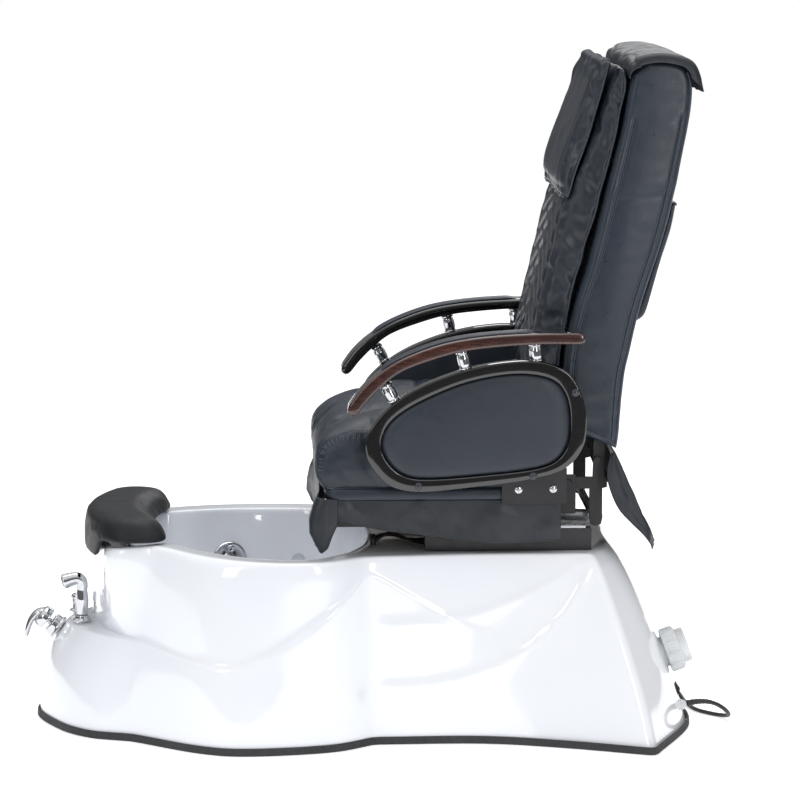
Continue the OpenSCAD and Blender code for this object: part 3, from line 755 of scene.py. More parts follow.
def bspline(ctrl, step=6.0, smax=14):
    """Cubic B-spline down a list of rings, held at both ends."""
    c = [ctrl[0]] * 2 + list(ctrl) + [ctrl[-1]] * 2
    out = []
    for i in range(len(c) - 3):
        a, b, d, e = c[i:i + 4]
        n = int(np.clip(np.linalg.norm(b - d, axis=1).mean() / step, 2, smax))
        for j in range(n):
            t = j / n
            out.append(((1 - t) ** 3 * a + (3 * t ** 3 - 6 * t * t + 4) * b + (-3 * t ** 3 + 3 * t * t + 3 * t + 1) * d + t ** 3 * e) / 6)
    out.append(c[-1])
    return out


ARC1 = np.array([[-20, 240], [17, 235], [63, 235], [130, 239], [215, 253], [290, 281], [348, 310], [395, 338], [436, 366]], float)
ARC2 = np.array([[-20, 117], [17, 115], [120, 118], [190, 132], [254, 156], [310, 190], [349, 223], [385, 268], [415, 320], [432, 352]], float)
levels = [ring_at(k) for k in range(10)]
outer = bspline(hold(levels, {3: 6.0, 4: 5.0, 7: 13.0, 8: 7.0}), 5.0)
shaped = []
for ring in outer:
    p = ring.copy()
    amt = np.zeros(len(p))
    for arc, a0 in ((ARC1, 4.0), (ARC2, 4.2)):
        za = np.interp(p[:, 0], arc[:, 0], arc[:, 1])
        d = p[:, 2] - za
        g = np.where(d < 0, np.exp(np.minimum(d, 0) / 34.0), np.exp(-(np.maximum(d, 0) / 5.5) ** 1.5))
        amt += a0 * g * sm(p[:, 0], 18, 44) * (1 - sm(p[:, 0], 405, 445)) * sm(np.abs(p[:, 1]), 190, 230) * (1 - sm(p[:, 2], 348, 356)) * sm(p[:, 2], 24, 60)
    p[:, 1] += np.sign(p[:, 1]) * amt
    shaped.append(p)
lip = [inward(levels[9], -6, -360, -100), inward(levels[8], -6, -360, -100) + [0, 0, -6]]
inner = [inward(levels[k], 6) + [0, 0, dz] for k, dz in ((7, -6), (6, -3), (4, -6), (2, -3), (0, 0))]
v, f = strips(shaped + lip + inner, closed_u=True)
shell = obj_from("base_moulding", v, f)
put(shell, "base", "acrylic", ["base_shell"])

FLOOR = 86.0


def pool(i, z, rel=False):
    q = inward(levels[8], i, -360, -100)
    return np.stack([q[:, 0], q[:, 1], levels[8][:, 2] + z if rel else np.full(len(q), float(z))], 1)


def toward(f, z):
    p = levels[8]
    t = np.stack([np.clip(p[:, 0], -330, -110), p[:, 1] * 0.0, np.zeros(len(p))], 1)
    q = inward(p, 100, -360, -100)
    q = q + (t - q) * f
    return np.stack([q[:, 0], q[:, 1], np.full(len(q), float(z))], 1)


bowl = [pool(5.5, -1, True), pool(7.5, -5, True), pool(9.5, -15, True), pool(17, 250), pool(36, FLOOR + 60), pool(60, FLOOR + 12), pool(100, FLOOR + 0.5), toward(0.3, FLOOR + 0.5), toward(0.7, FLOOR + 0.4)]
inside = bspline(bowl, 8.0) + [toward(0.97, FLOOR + 0.4)]
outside = [toward(0.97, FLOOR - 6), pool(98, FLOOR - 6), pool(58, FLOOR + 5), pool(30.5, FLOOR + 59), pool(11.5, 250), pool(3.5, -14, True), pool(0.8, -1, True)]
v, f = strips(inside + outside, closed_u=True)
basin = obj_from("basin_liner", v, f)
put(basin, "base", "acrylic", ["foot_basin"])

P0 = resample(ring_at(0, 24)[:, :2], 2900, closed=True)
T0 = unit_rows(np.roll(P0, -1, 0) - np.roll(P0, 1, 0))
area = np.sum(P0[:, 0] * np.roll(P0[:, 1], -1) - np.roll(P0[:, 0], -1) * P0[:, 1])
N0 = np.stack([T0[:, 1], -T0[:, 0]], 1) * (1 if area > 0 else -1)
phase = np.arange(2900) % 4
rib = np.where((phase == 1) | (phase == 2), 1.0, 0.0)[:, None]
rings = []
for z, out, k in ((1.2, 0.6, 0), (1.2, 3.6, 0), (2.4, 4.4, 0), (3.6, 3.6, 1.1), (12.8, 3.0, 1.1), (14.4, 3.6, 0), (15.8, 3.0, 0), (15.8, 0.6, 0)):
    q = P0 + N0 * (out + k * rib)
    rings.append(np.stack([q[:, 0], q[:, 1], np.full(len(q), z)], 1))
v, f = strips(rings, closed_u=True)
put(obj_from("edge_strip", v, f), "base", "rubber", ["edge_trim"])


# ---------------------------------------------------------------- chrome on the tub
def lathe_obj(name, profile, origin, axis=(0, 0, 1), seg=48, r=1.0):
    return loft(name, lathe(round_profile(profile, r), origin, axis, seg), caps=True)


def rotv(v, ax, deg):
    from mathutils import Matrix
    return np.array(Matrix.Rotation(math.radians(deg), 3, ax) @ Vector(v))


MIX_O = np.array([-600, 0, 172.0])
MIX_A = np.array([-0.777, 0, 0.629])
put(lathe_obj("mixer_flange", [(-13, 12), (0, 14), (0.6, 25.5), (4.2, 26), (5.2, 23), (8, 21.6), (17, 21.6), (19.8, 21), (20, 16.6), (5, 16.4)], MIX_O, MIX_A, 64, 1.6), "base", "chrome", ["mixer_base"])
body = lathe_obj("mixer_cap", [(29, 14.2), (29, 22.4), (31, 23), (41, 22.4), (46, 20), (49.5, 14), (50.6, 6), (50.8, 0.3)], MIX_O, MIX_A, 64, 2.0)
path = openc([[-628, 0, 207], [-641, 0, 205], [-653, 0, 193], [-660, 0, 178], [-664, 0, 164], [-665.5, 0, 158]], 6)
k = len(path)
lev = loft("mixer_lever_bar", sweep(path, np.interp(np.linspace(0, 1, k), [0, 0.25, 0.75, 0.96, 1], [13.5, 13, 10.4, 8.6, 5.0]), 24, 0.55, (0, 0, 1)), caps=True)
put(join([body, lev], "mixer_lever_chrome"), "mixer_lever", "chrome", ["mixer_handle"])

put(lathe_obj("sprayer_socket", [(181, 9), (181, 13.6), (197, 13.8), (197.4, 17.6), (200, 18.2), (201.5, 17), (203, 14.4), (208.5, 13.6), (209, 10.3), (182, 10.2)], (-552, -50, 0), (0, 0, 1), 48, 1.2), "base", "chrome", ["sprayer_holder"])
grip = lathe_obj("grip", [(198.6, 9.4), (209, 9.6), (212, 11.2), (226, 12.6), (240, 13), (252, 11.6), (262, 10.2), (272, 9.6), (279, 8)], (-552, -50, 0), (0, 0, 1), 48, 2.5)
path = openc([[-552, -50, 258], [-551, -50, 268], [-553, -50, 277], [-561, -50, 281.5], [-572, -50, 280], [-580, -50, 277.5], [-588, -50, 275]], 5)
k = len(path)
neck = loft("neck", sweep(path, np.interp(np.linspace(0, 1, k), [0, 0.3, 0.55, 0.8, 0.95, 1], [10.6, 11.2, 12.6, 14.2, 15.2, 14.2]), 28, 1.0, (0, 1, 0)), caps=True)
spray = join([grip, neck], "hand_sprayer_chrome")
put(spray, "hand_sprayer", "chrome", ["sprayer"])
ax = np.array([-0.954, 0, -0.3])
face = lathe_obj("sprayer_face", [(-1, 10.6), (1.0, 10.8), (1.8, 9.6), (1.2, 8.4), (1.2, 6.5), (1.9, 5.6), (1.9, 0.2)], np.array([-588.2, -50, 274.9]), ax, 40, 0.4)
put(face, "hand_sprayer", "black_plastic")
put(lathe_obj("diverter_flange", [(182, 4.4), (182, 10.8), (197, 11), (197.3, 15.4), (200, 16), (201.4, 14.6), (203, 10.4), (210.6, 10), (211, 4.4)], (-566, 48, 0), (0, 0, 1), 40, 1.0), "base", "chrome", ["diverter_base"])
kn = lathe("", [(0, 0)])
prof = round_profile([(212.6, 3.8), (212.8, 10.6), (214, 11.4), (224, 12.8), (229, 12.4), (232.4, 9.6), (233, 0.3)], 1.4)
rg = []
for z, r in prof:
    q = np.linspace(0, 2 * math.pi, 72, endpoint=False)
    rr = r * (1 - 0.05 * (np.cos(q * 12) > 0.2) * (1 if 214 < z < 230 else 0))
    rg.append(np.stack([-566 + rr * np.cos(q), 48 + rr * np.sin(q), np.full(72, z)], 1))
knob = loft("kn", rg, caps=True)
lever = loft("kl", sweep(openc([[-557, 48, 221], [-551, 48, 221.5], [-547, 48, 221]], 4), np.interp(np.linspace(0, 1, 9), [0, 0.8, 1], [4.4, 3.6, 1.6]), 16, 0.75, (0, 0, 1)), caps=True)
stem = lathe_obj("ks", [(199, 3.9), (213, 3.9)], (-566, 48, 0), (0, 0, 1), 24)
put(join([knob, lever, stem], "diverter_wheel"), "diverter", "chrome", ["diverter_knob"])

# jet cover on the far wall of the basin
jo = np.array([-267, 246, 262.0])


def jl(p):
    return jo + rotv(rotv(p, "X", -10), "Z", 21)


jaxis = jl((0, -1, 0)) - jo
put(lathe_obj("jet_rim", [(4.2, 29.2), (4.2, 37.8), (5.4, 38), (9, 36.6), (11.4, 34.2), (11.6, 31.6), (9.6, 29.0), (8.4, 24), (8.6, 16), (10.4, 12.6), (14.4, 12), (16.2, 10.6), (16.4, 6.2), (12, 5.2), (12, 0.3)], jo, jaxis, 72, 1.6), "base", "chrome", ["jet_cover"])
ks = []
for a in (-35, 90, 215):
    c = jl((22 * math.cos(math.radians(a)), 0, 22 * math.sin(math.radians(a))))
    ks.append(lathe_obj("jk%d" % a, [(7.8, 9.2), (10.5, 9.0), (12.4, 7.6), (14, 7.4), (18.4, 8.0), (20.4, 7.0), (21.2, 4.4), (19.8, 3.4), (19.8, 0.2)], c, jaxis, 36, 0.9))
put(join(ks, "jet_nozzles"), "base", "chrome")


# ---------------------------------------------------------------- white pipe fittings on the rear wall
UO = np.array([583, -120, 140.0])
UA = rotv((1, 0, 0), "Y", -20)
s = Vector(UA).orthogonal().normalized()
s = np.array([0, 1.0, 0])
w = np.cross(UA, s)
rg = []
for z, r, rb in ((6.8, 34.8, 0), (6.8, 41.0, 0), (8.0, 41.8, 0), (9.5, 41.8, 1), (31.5, 41.8, 1), (33.5, 41.4, 0), (35.8, 39.4, 0), (36, 34.9, 0)):
    q = np.linspace(0, 2 * math.pi, 240, endpoint=False)
    k = ((q * 12 / (2 * math.pi)) % 1.0)
    lobe = np.clip(np.minimum(k, 1 - k) * 8, 0, 1)
    rr = r + rb * 3.0 * (1 - sm(lobe, 0.45, 0.95))
    rg.append(UO + UA * z + (rr * np.cos(q))[:, None] * s + (rr * np.sin(q))[:, None] * w)
put(loft("union_ring_nut", rg, closed_u=True), "base", "pvc", ["union_nut"])
put(loft("outlet_socket", lathe(round_profile([(8.2, 26.2), (8.2, 34.2), (36, 34.2), (37, 34.2), (50, 34.0), (52, 33.2), (52, 30.6), (50.4, 30.2), (14.2, 30.2), (14, 26.2)], 0.8), UO, UA, 64), closed_u=True), "base", "pvc", ["drain_outlet"])


# ---------------------------------------------------------------- mains lead: route, coil, plug
ROUTE = [[628,-158,46],[644,-158,49],[661,-158,50],[678,-156,47],[694,-151,39],[707,-141,28],[715,-126,17],[716,-109,10],[711,-92,6],[700,-77,4],[685,-62,4],[670,-43,4],[658,-17,4],[651,18,4],[647,58,4],[645,110,4],[641,170,4],[633,235,4],[620,302,4],[602,370,4],[577,432,4],[538,482,4],[487,510,4],[438,519,4],[396,520,4]]
CC = np.array([380.0, 470.0])
# angle, radius, height down the coil's turns
COIL = [(97, 50, 4), (180, 50, 4), (270, 50, 4), (360, 50, 4), (378, 50, 4), (408, 46, 4), (438, 42.2, 4), (540, 42, 4), (690, 42, 4), (730, 42, 8), (770, 42, 12), (900, 42, 12), (1000, 42, 12), (1030, 46, 12), (1060, 50, 12), (1150, 50, 12), (1260, 50, 12)]
ca = np.array(COIL, float)
th = np.arange(97, 1260.1, 7.5)
cz = openc(ca, 8)
o1 = np.argsort(cz[:, 0])
rr = np.interp(th, cz[o1, 0], cz[o1, 1])
zz = np.interp(th, cz[o1, 0], cz[o1, 2])
coil_pts = np.stack([CC[0] + rr * np.cos(np.radians(th)), CC[1] + rr * np.sin(np.radians(th)), zz], 1)
lead = np.vstack([openc(ROUTE[:-1] + [[392, 519.6, 4]], 4)[:-3], coil_pts[1:], [[330, 467, 12], [330, 462, 12], [330, 456, 12]]])
lead = resample(lead, int(length_of(lead) / 6.0))
for _ in range(2):
    lead[1:-1] = 0.5 * lead[1:-1] + 0.25 * (lead[:-2] + lead[2:])
cu = bpy.data.curves.new("mains_lead", "CURVE")
cu.dimensions = "3D"
sp = cu.splines.new("POLY")
sp.points.add(len(lead) - 1)
for pt, q in zip(sp.points, lead):
    pt.co = (*(q * 0.001), 1)
sp.use_smooth = True
cu.bevel_depth = 0.004
cu.bevel_resolution = 5
cu.use_fill_caps = True
cord = bpy.data.objects.new("mains_lead", cu)
scene.collection.objects.link(cord)
cu.materials.append(MATS["cord"])
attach(cord, "base")
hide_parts("mains_cord", "mains_cord_coil")

# plug on the floor beside the coil
relief = []
for z, r in ((0, 4.6), (1, 5.2), (5, 5.3), (6, 4.7), (8, 4.7), (9, 5.7), (13, 5.8), (14, 5.1), (16, 5.1), (17, 6.3), (21, 6.4), (22, 5.6), (24, 5.6), (25, 6.9), (29, 7.0), (30, 6.2), (32, 6.2), (33, 7.5), (38, 8.2), (40, 8.4)):
    relief.append((z, r))
pr = loft("pr", lathe(relief, (330, 456, 12), (0, -1, 0), 32), caps=True)
rg = []
for t, hx, hz in ((0, 8.5, 8.0), (3, 11.5, 10), (9, 13.6, 11.6), (18, 14, 12), (22, 12.6, 11.6), (27, 12.4, 11.4), (31, 13.6, 11.9), (37, 14, 12), (39.4, 13.6, 11.6), (40, 12.6, 10.8)):
    q = np.linspace(0, 2 * math.pi, 48, endpoint=False)
    cx, sx = np.cos(q), np.sin(q)
    e = 0.45
    rg.append(np.stack([330 + hx * np.sign(cx) * np.abs(cx) ** e, np.full(48, 418.0 - t), 12 + hz * np.sign(sx) * np.abs(sx) ** e], 1))
pb = loft("pb", rg, caps=True)
plug = put(join([pr, pb], "plug_body"), "base", "cord", ["mains_plug"])
pins = []
for x in (-6.35, 6.35):
    rg = []
    for t, hx, hz in ((38, 0.75, 3.2), (53, 0.75, 3.2), (56.4, 0.7, 2.6), (57.4, 0.35, 1.9)):
        rg.append([(330 + x + a * hx, 418 - t, 12 + b * hz) for a, b in ((-1, -0.9), (-0.8, -1), (0.8, -1), (1, -0.9), (1, 0.9), (0.8, 1), (-0.8, 1), (-1, 0.9))])
    pins.append(loft("pin", rg, caps=True))
pins.append(lathe_obj("pin3", [(38, 2.35), (54, 2.35), (57.4, 0.9)], (330, 418, 19), (0, -1, 0), 20, 0.8))
pins = put(join(pins, "plug_pins"), "base", "steel")
# tie round the coil
rg = []
for s_ in np.linspace(-7, 7, 9):
    a = math.radians(-38) + s_ / 46.0
    er, et = np.array([math.cos(a), math.sin(a), 0]), None
    loop = []
    for q in np.linspace(0, 2 * math.pi, 36, endpoint=False):
        cx, sx = math.cos(q), math.sin(q)
        loop.append(np.array([CC[0], CC[1], 8.4]) + er * (46 + 9.0 * np.sign(cx) * abs(cx) ** 0.5) + np.array([0, 0, 1]) * (8.3 * np.sign(sx) * abs(sx) ** 0.5))
    rg.append(loop)
tie = thicken(loft("coil_tie", rg), 1.2, 0.0)
tie = put(tie, "base", "rubber")
# tapered strain relief and gland where the lead leaves the wall
GO = np.array([606, -158, 41.0])
GA = rotv((1, 0, 0), "Y", -12)
gl = []
for z, r, hexa in ((-12, 7.8, 0), (0.5, 8, 0), (1.8, 12, 1), (2.4, 12.8, 1), (8.4, 12.8, 1), (9.2, 11.8, 1), (9.6, 10.2, 0), (15.2, 10.2, 0), (16.4, 9.0, 0), (19, 7.6, 0), (21.6, 6.0, 0), (22, 4.1, 0)):
    q = np.linspace(0, 2 * math.pi, 72, endpoint=False)
    k = (q % (math.pi / 3)) - math.pi / 6
    hx = np.minimum(1 / np.cos(k) * 0.94, 1.0) if hexa else 1.0
    rr2 = r * hx
    s2, w2 = np.array([0, 1.0, 0]), np.cross(GA, [0, 1.0, 0])
    gl.append(GO + GA * z + (rr2 * np.cos(q))[:, None] * s2 + (rr2 * np.sin(q))[:, None] * w2)
gland = put(loft("cable_gland", gl, caps=True), "base", "pvc", ["cord_gland"])
rel = []
rp = lead[:9]
rel = loft("lead_relief", sweep(resample(rp, 22), [6.2 if i % 3 else 5.4 for i in range(4)] + list(np.interp(range(18), [0, 17], [6.0, 4.5]) - 0.55 * ((np.arange(18) % 3) == 0)), 20), caps=True)
rel = put(rel, "base", "cord")
print("LEAD LENGTH", length_of(lead))


# ---------------------------------------------------------------- footrest pad
PAD = [[-548,0],[-543,-70],[-527,-140],[-503,-196],[-470,-224],[-430,-222],[-404,-196],[-406,-150],[-421,-85],[-427,0]]
pad_line = loopc(PAD + [[PAD[i][0], -PAD[i][1]] for i in range(8, 0, -1)], 8)
pad_line = resample(pad_line, 150, closed=True)
rg = []
for inset, z, lip in ((34, 380, 0), (22, 380, 0), (13, 380, 0), (12, 380, 0.97), (8, 380, 1.05), (3, 380.5, 1.05), (0.8, 383, 0.95), (0.8, 392, 0.4), (1.4, 402, 0), (2.2, 410, 0), (4, 415.5, 0), (7.5, 419.5, 0), (13, 421.8, 0), (24, 423.5, 0), (38, 424, 0)):
    q = offset2(pad_line, inset)
    up = float(np.clip((z - 383) / 36.0, 0, 1))
    end = sm(q[:, 0], -475, -415)
    rg.append(np.stack([q[:, 0] + end * (22 - 15 * up), q[:, 1] * (1 - 0.085 * up), z - 35.0 * lip * sm(-pad_line[:, 0], 510, 526)], 1))
pad = loft("footrest_cushion", rg, caps=True)


def pin_low(co, no):
    return sm(-co[:, 2], -386, -381)


puff(pad, 3.0, 4.0, 4.0, pin_low, shrink=-0.01, after=1)
co = coords(pad)
dip = 7.5 * np.exp(-(((co[:, 0] + 414) / 20) ** 2)) * np.exp(-((co[:, 1] / 120) ** 2)) * sm(co[:, 2], 405, 432)
co[:, 2] -= dip
co[:, 2] = np.clip(co[:, 2], 340, 440)
set_coords(pad, co)
smooth(pad, 7)
put(pad, "footrest", "foam", ["footrest_pad"])


# ---------------------------------------------------------------- seat cushion
def seat_weight(O):
    return 0.2 + 0.8 * sm(O[:, 1], 505, 575)


def slab_w(name, F, R, hw, r, W, M=10, ny=14, nr=6, bulge=0.0):
    global offset2
    plain = offset2
    offset2 = lambda P, d: plain(P, np.asarray(d, float) * W(P))
    try:
        return slab(name, F, R, hw, r, M, ny, nr, bulge)
    finally:
        offset2 = plain


SEAT_TOP = openc([[-82,488],[-93,518],[-96,546],[-91,568],[-73,590],[-40,605],[2,615],[60,628],[160,630],[260,620],[330,604],[356,589],[363,555],[362,495]], 8)
seat = slab_w("seat_cushion_soft", resample([[-72, 482], [364, 482]], 60), resample(SEAT_TOP, 60), 253, 27, seat_weight, M=12, bulge=2.0)
ARC_S = [[-93,486],[-91,526],[-88,551],[-84,570],[-74,581],[-53,589],[-24,591],[2,591],[120,588],[250,577],[330,566],[352,548],[356,500]]
ARC_T = [[-96,556],[-90,584],[-70,600],[-34,610],[2,614],[120,612],[250,598],[335,583]]


def on_side(line, y):
    q = openc(line, 6)
    return np.stack([q[:, 0], np.full(len(q), float(y)), q[:, 1]], 1)


def pin_seat(co, no):
    w = sm(-co[:, 2], -494, -485)
    for s in (-1, 1):
        d = near_dist(co, on_side(ARC_S, s * 254))
        w = np.maximum(w, 0.9 * np.exp(-(d / 8.0) ** 2))
    w = np.maximum(w, sm(co[:, 0], 345, 356))
    for y in (-112, 112):
        w = np.maximum(w, 0.85 * np.exp(-((co[:, 1] - y) / 9.0) ** 2) * sm(co[:, 2], 560, 600))
    return w


puff(seat, 10.0, 6.5, 4.0, pin_seat, shrink=-0.035, bend=0.3, after=1)
co = coords(seat)
co[:, 2] -= 4.0 * (np.abs(co[:, 1]) / 250.0) ** 3 * sm(co[:, 2], 545, 590)
set_coords(seat, co)
seams = []
for s in (-1, 1):
    seams += [on_side(ARC_S, s * 262), on_side(ARC_T, s * 258)]
press_seams(seat, seams, 3.2, 4.0)
top_lines = [np.stack([np.linspace(-96, 352, 90), np.full(90, y), np.interp(np.linspace(-96, 352, 90), SEAT_TOP[20:80, 0], SEAT_TOP[20:80, 1]) + 5], 1) for y in (-112.0, 112.0)]
cross = [np.stack([np.full(70, x), np.linspace(-215, 215, 70), np.full(70, float(z))], 1) for x, z in ((118, 636), (232, 626))]
press_seams(seat, top_lines + cross, 6.0, 8.0)
co, no = coords(seat), vnormals(seat)
wrk = nz_dir(co, (0.016, 0.03, 0.03), 3.0) * 1.6 + nz_dir(co, (0.05, 0.06, 0.06), 5.0) * 0.7
ruche = np.zeros(len(co))
for s in (-1, 1):
    line = resample(on_side(ARC_S[2:10], s * 262), 200)
    kd = kdtree.KDTree(len(line))
    for i, p in enumerate(line):
        kd.insert(Vector(p), i)
    kd.balance()
    hit = [kd.find(Vector(p)) for p in co]
    L = length_of(line) / 199
    d = np.array([h[2] for h in hit])
    a = np.array([h[1] for h in hit]) * L
    ruche += 1.1 * np.cos(a * 2 * math.pi / 11.0) * np.exp(-((d - 7) / 7.0) ** 2)
co = co + no * (wrk + ruche)[:, None]
co[:, 1] = np.clip(co[:, 1], -263.5, 263.5)
co[:, 2] = np.maximum(co[:, 2], 480.3)
set_coords(seat, co)
put(seat, "seat", "leather", ["seat_cushion"])
sts = []
for s in (-1, 1):
    sts.append(stitches("g", seat, on_side(ARC_S[1:9], s * 262), 7.4, 9.0, 0.8, 0.4, across=True, off=s * -4.0))
    sts.append(stitches("g2", seat, on_side(ARC_T, s * 258), 5.0, 3.4, 0.42, 0.3, off=2.6))
for line in top_lines + cross:
    sts.append(stitches("g3", seat, line[4:-4], 5.2, 3.6, 0.45, 0.4, off=5.0))
    sts.append(stitches("g4", seat, line[4:-4], 5.2, 3.6, 0.45, 0.4, off=-5.0))
put(join(sts, "seat_stitching"), "seat", "thread")
pp = []
for s in (-1, 1):
    pp.append(piping("p", seat, on_side([[-84,486],[20,484],[140,483],[250,483],[354,484]], s * 262), 1.9, 0.4))
put(join(pp, "seat_welt"), "seat", "piping")

band_plan = resample(openc([[366.4, -205], [366.4, -246], [362, -255], [350, -257.6], [257, -257.6], [120, -257.6], [0, -257.6], [-50, -257.6], [-66, -253], [-74.5, -240], [-76, -200], [-76, 0], [-76, 200], [-74.5, 240], [-66, 253], [-50, 257.6], [0, 257.6], [120, 257.6], [257, 257.6], [350, 257.6], [362, 255], [366.4, 246], [366.4, 205]], 12), 380)
bt = unit_rows(np.gradient(band_plan, axis=0))
bn = np.stack([bt[:, 1], -bt[:, 0]], 1)
rows = []
for o_, z in ((-1.6, 468.0), (1.6, 468.2), (2.8, 470.5), (3.4, 475), (3.4, 480), (2.6, 485), (0.6, 489), (-3.0, 491), (-3.0, 486), (-1.6, 480.5)):
    if np.dot(bn[190], (-1.0, 0.0)) < 0:
        q = band_plan - bn * o_
    else:
        q = band_plan + bn * o_
    w = np.array([0.5 * noise.noise(Vector((p[0] * 0.03, p[1] * 0.03, z * 0.05))) for p in q])
    rows.append(np.stack([q[:, 0], q[:, 1] + np.sign(q[:, 1]) * w * (np.abs(q[:, 1]) > 250), np.full(len(q), float(z))], 1))
rr_ = np.array(rows)
rr_[:, :, 1] = np.clip(rr_[:, :, 1], -263.4, 263.4)
rr_[:, :, 0] = np.minimum(rr_[:, :, 0], 367.8)
o = loft("seat_edge_band", [rr_[:, i] for i in range(rr_.shape[1])], caps=True)
put(o, "seat", "leather")


# ---------------------------------------------------------------- hanging cloth
def sheet_obj(name, grid, th=1.6):
    o = loft(name, grid, closed_v=False)
    g = np.asarray(grid, float)
    a = np.linalg.norm(np.cross(g[1:, :-1] - g[:-1, :-1], g[:-1, 1:] - g[:-1, :-1]), axis=2).sum() * 1e-6
    thicken(o, th)
    return o, float(a)


skirt_bot = openc([[-52, 432], [26, 413], [140, 398], [255, 386], [372, 391]], 12)
for s, side in ((-1, "left"), (1, "right")):
    g = []
    for v in np.linspace(0, 1, 30):
        row = []
        for u in np.linspace(0, 1, 130):
            x = -60 + 432 * u
            zt, zb = 468.5, np.interp(x, skirt_bot[:, 0], skirt_bot[:, 1])
            z = zt + (zb - zt) * v
            sag = math.sin(v * math.pi * 0.5)
            w1 = noise.noise(Vector((x * 0.017 + 3 * s, z * 0.012, 1.7)))
            w2 = noise.noise(Vector((x * 0.045 + z * 0.02, z * 0.03, 7.7 + s)))
            vf = max(0.0, 1 - abs(((x - 30) % 150) - 75) / (16 + 60 * v)) * math.exp(-((v - 0.32) / 0.3) ** 2)
            pleat = 3.6 * math.exp(-((x + 44 - 12 * v) / 5.0) ** 2) * sag - 2.5 * math.exp(-((x + 30 - 18 * v) / 6.0) ** 2) * sag
            out = 259.2 + sag * (1.8 + 3.6 * w1 + 1.8 * w2) + 2.6 * vf + pleat
            if z > 458:
                out = min(out, 261.5)
            row.append((x, s * out, z + 1.2 * w2 * v * v))
        g.append(row)
    o, a = sheet_obj("side_skirt_" + side, g)
    put(o, "seat", "flap", ["seat_skirt"])
    hem = loft("hem", sweep(np.array(g[-1])[::2], 1.5, 8), caps=True)
    st = stitches("hs", o, np.array(g[-3]), 5.0, 3.2, 0.4, 0.2)
    hem = put(hem, "seat", "flap")
    hem.name = "side_skirt_hem_" + side
    st = put(st, "seat", "flap")
    st.name = "side_skirt_stitch_" + side

plan = openc([[-54,-261.8],[-68,-262.4],[-80,-262.4],[-90,-257],[-92,-244],[-88,-200],[-87,-100],[-87,0],[-87,100],[-88,200],[-92,244],[-90,257],[-80,262.4],[-68,262.4],[-54,261.8]], 10)
plan = resample(plan, 240)
tn = unit_rows(np.gradient(plan, axis=0))
pn = np.stack([-tn[:, 1], tn[:, 0]], 1)
arc_len = np.concatenate([[0], np.cumsum(np.linalg.norm(np.diff(plan, axis=0), axis=1))])
g = []
for v in np.linspace(0, 1, 34):
    row = []
    for (x, y), nn, s_ in zip(plan, pn, arc_len):
        e = min(s_, arc_len[-1] - s_)
        zb = np.interp(e, [0, 8, 20, 30, 46, 80, 140, 280], [424, 408, 376, 367, 374, 382, 384, 388])
        zb += 4 * noise.noise(Vector((s_ * 0.012, 0, 5)))
        zt = np.interp(e, [0, 26, 60], [470, 472, 478])
        z = zt + (zb - zt) * v
        belly = np.interp(v, [0, 0.2, 0.45, 0.7, 0.9, 1], [0, 7.5, 13, 13.5, 5, -2])
        belly *= np.interp(e, [0, 20, 34, 60, 110, 200], [0.12, 0.4, 1.0, 1.15, 0.5, 0.25])
        w = noise.noise(Vector((s_ * 0.022, z * 0.01, 9.0))) * 5.0 * v + noise.noise(Vector((s_ * 0.05 + z * 0.03, z * 0.02, 3.0))) * 2.4 * v
        fold = 5.0 * math.exp(-((e - 38 + 10 * v) / 6.0) ** 2) * v
        k = belly + w * min(1, 0.4 + e / 60) + fold
        row.append((x + nn[0] * -k if False else x - abs(nn[0]) * k, y + (nn[1] if y * nn[1] > 0 else -nn[1]) * abs(k) * 0.5 * (1 if abs(y) > 200 else 0), z))
    g.append(row)
flap_g = np.array(g)
flap_g[:, :, 1] = np.clip(flap_g[:, :, 1], -267, 267)
o, a = sheet_obj("front_flap_cloth", flap_g)
put(o, "seat", "flap", ["front_flap"])
hem = loft("front_flap_hem", sweep(flap_g[-1][::2], 1.5, 8), caps=True)
put(hem, "seat", "flap")
st = stitches("front_flap_stitch", o, flap_g[-4], 5.0, 3.2, 0.4, 0.2)
put(st, "seat", "flap")

# ---------------------------------------------------------------- arms
RING_O = [[16,530],[0,560],[0,592],[16,625],[50,659],[105,693],[182,722],[259,737],[330,738],[382,716],[408,672],[416,620],[407,570],[371,532],[298,512],[205,500],[105,491],[48,501]]
RING_I = [[43,544],[27,578],[34,610],[57,637],[105,666],[182,698],[259,714],[317,714],[359,700],[380,668],[386,626],[382,583],[361,550],[317,533],[221,522],[124,515],[74,520]]
REST_T = [[-40,648],[-10,689],[28,722],[74,749],[143,774],[220,787],[316,793],[411,794]]
REST_B = [[-22,636],[1,666],[32,697],[66,722],[120,743],[182,760],[258,769],[335,773],[411,772]]


def rrect(hx, hy, r, n=5, r2=None):
    r2 = r if r2 is None else r2
    out = []
    for (sx_, sy_, a0, rr_) in ((1, 1, 0, r), (-1, 1, 90, r), (-1, -1, 180, r2), (1, -1, 270, r2)):
        for k in range(n):
            a = math.radians(a0 + 90 * k / (n - 1))
            out.append((sx_ * (hx - rr_) + rr_ * math.cos(a), sy_ * (hy - rr_) + rr_ * math.sin(a)))
    return out


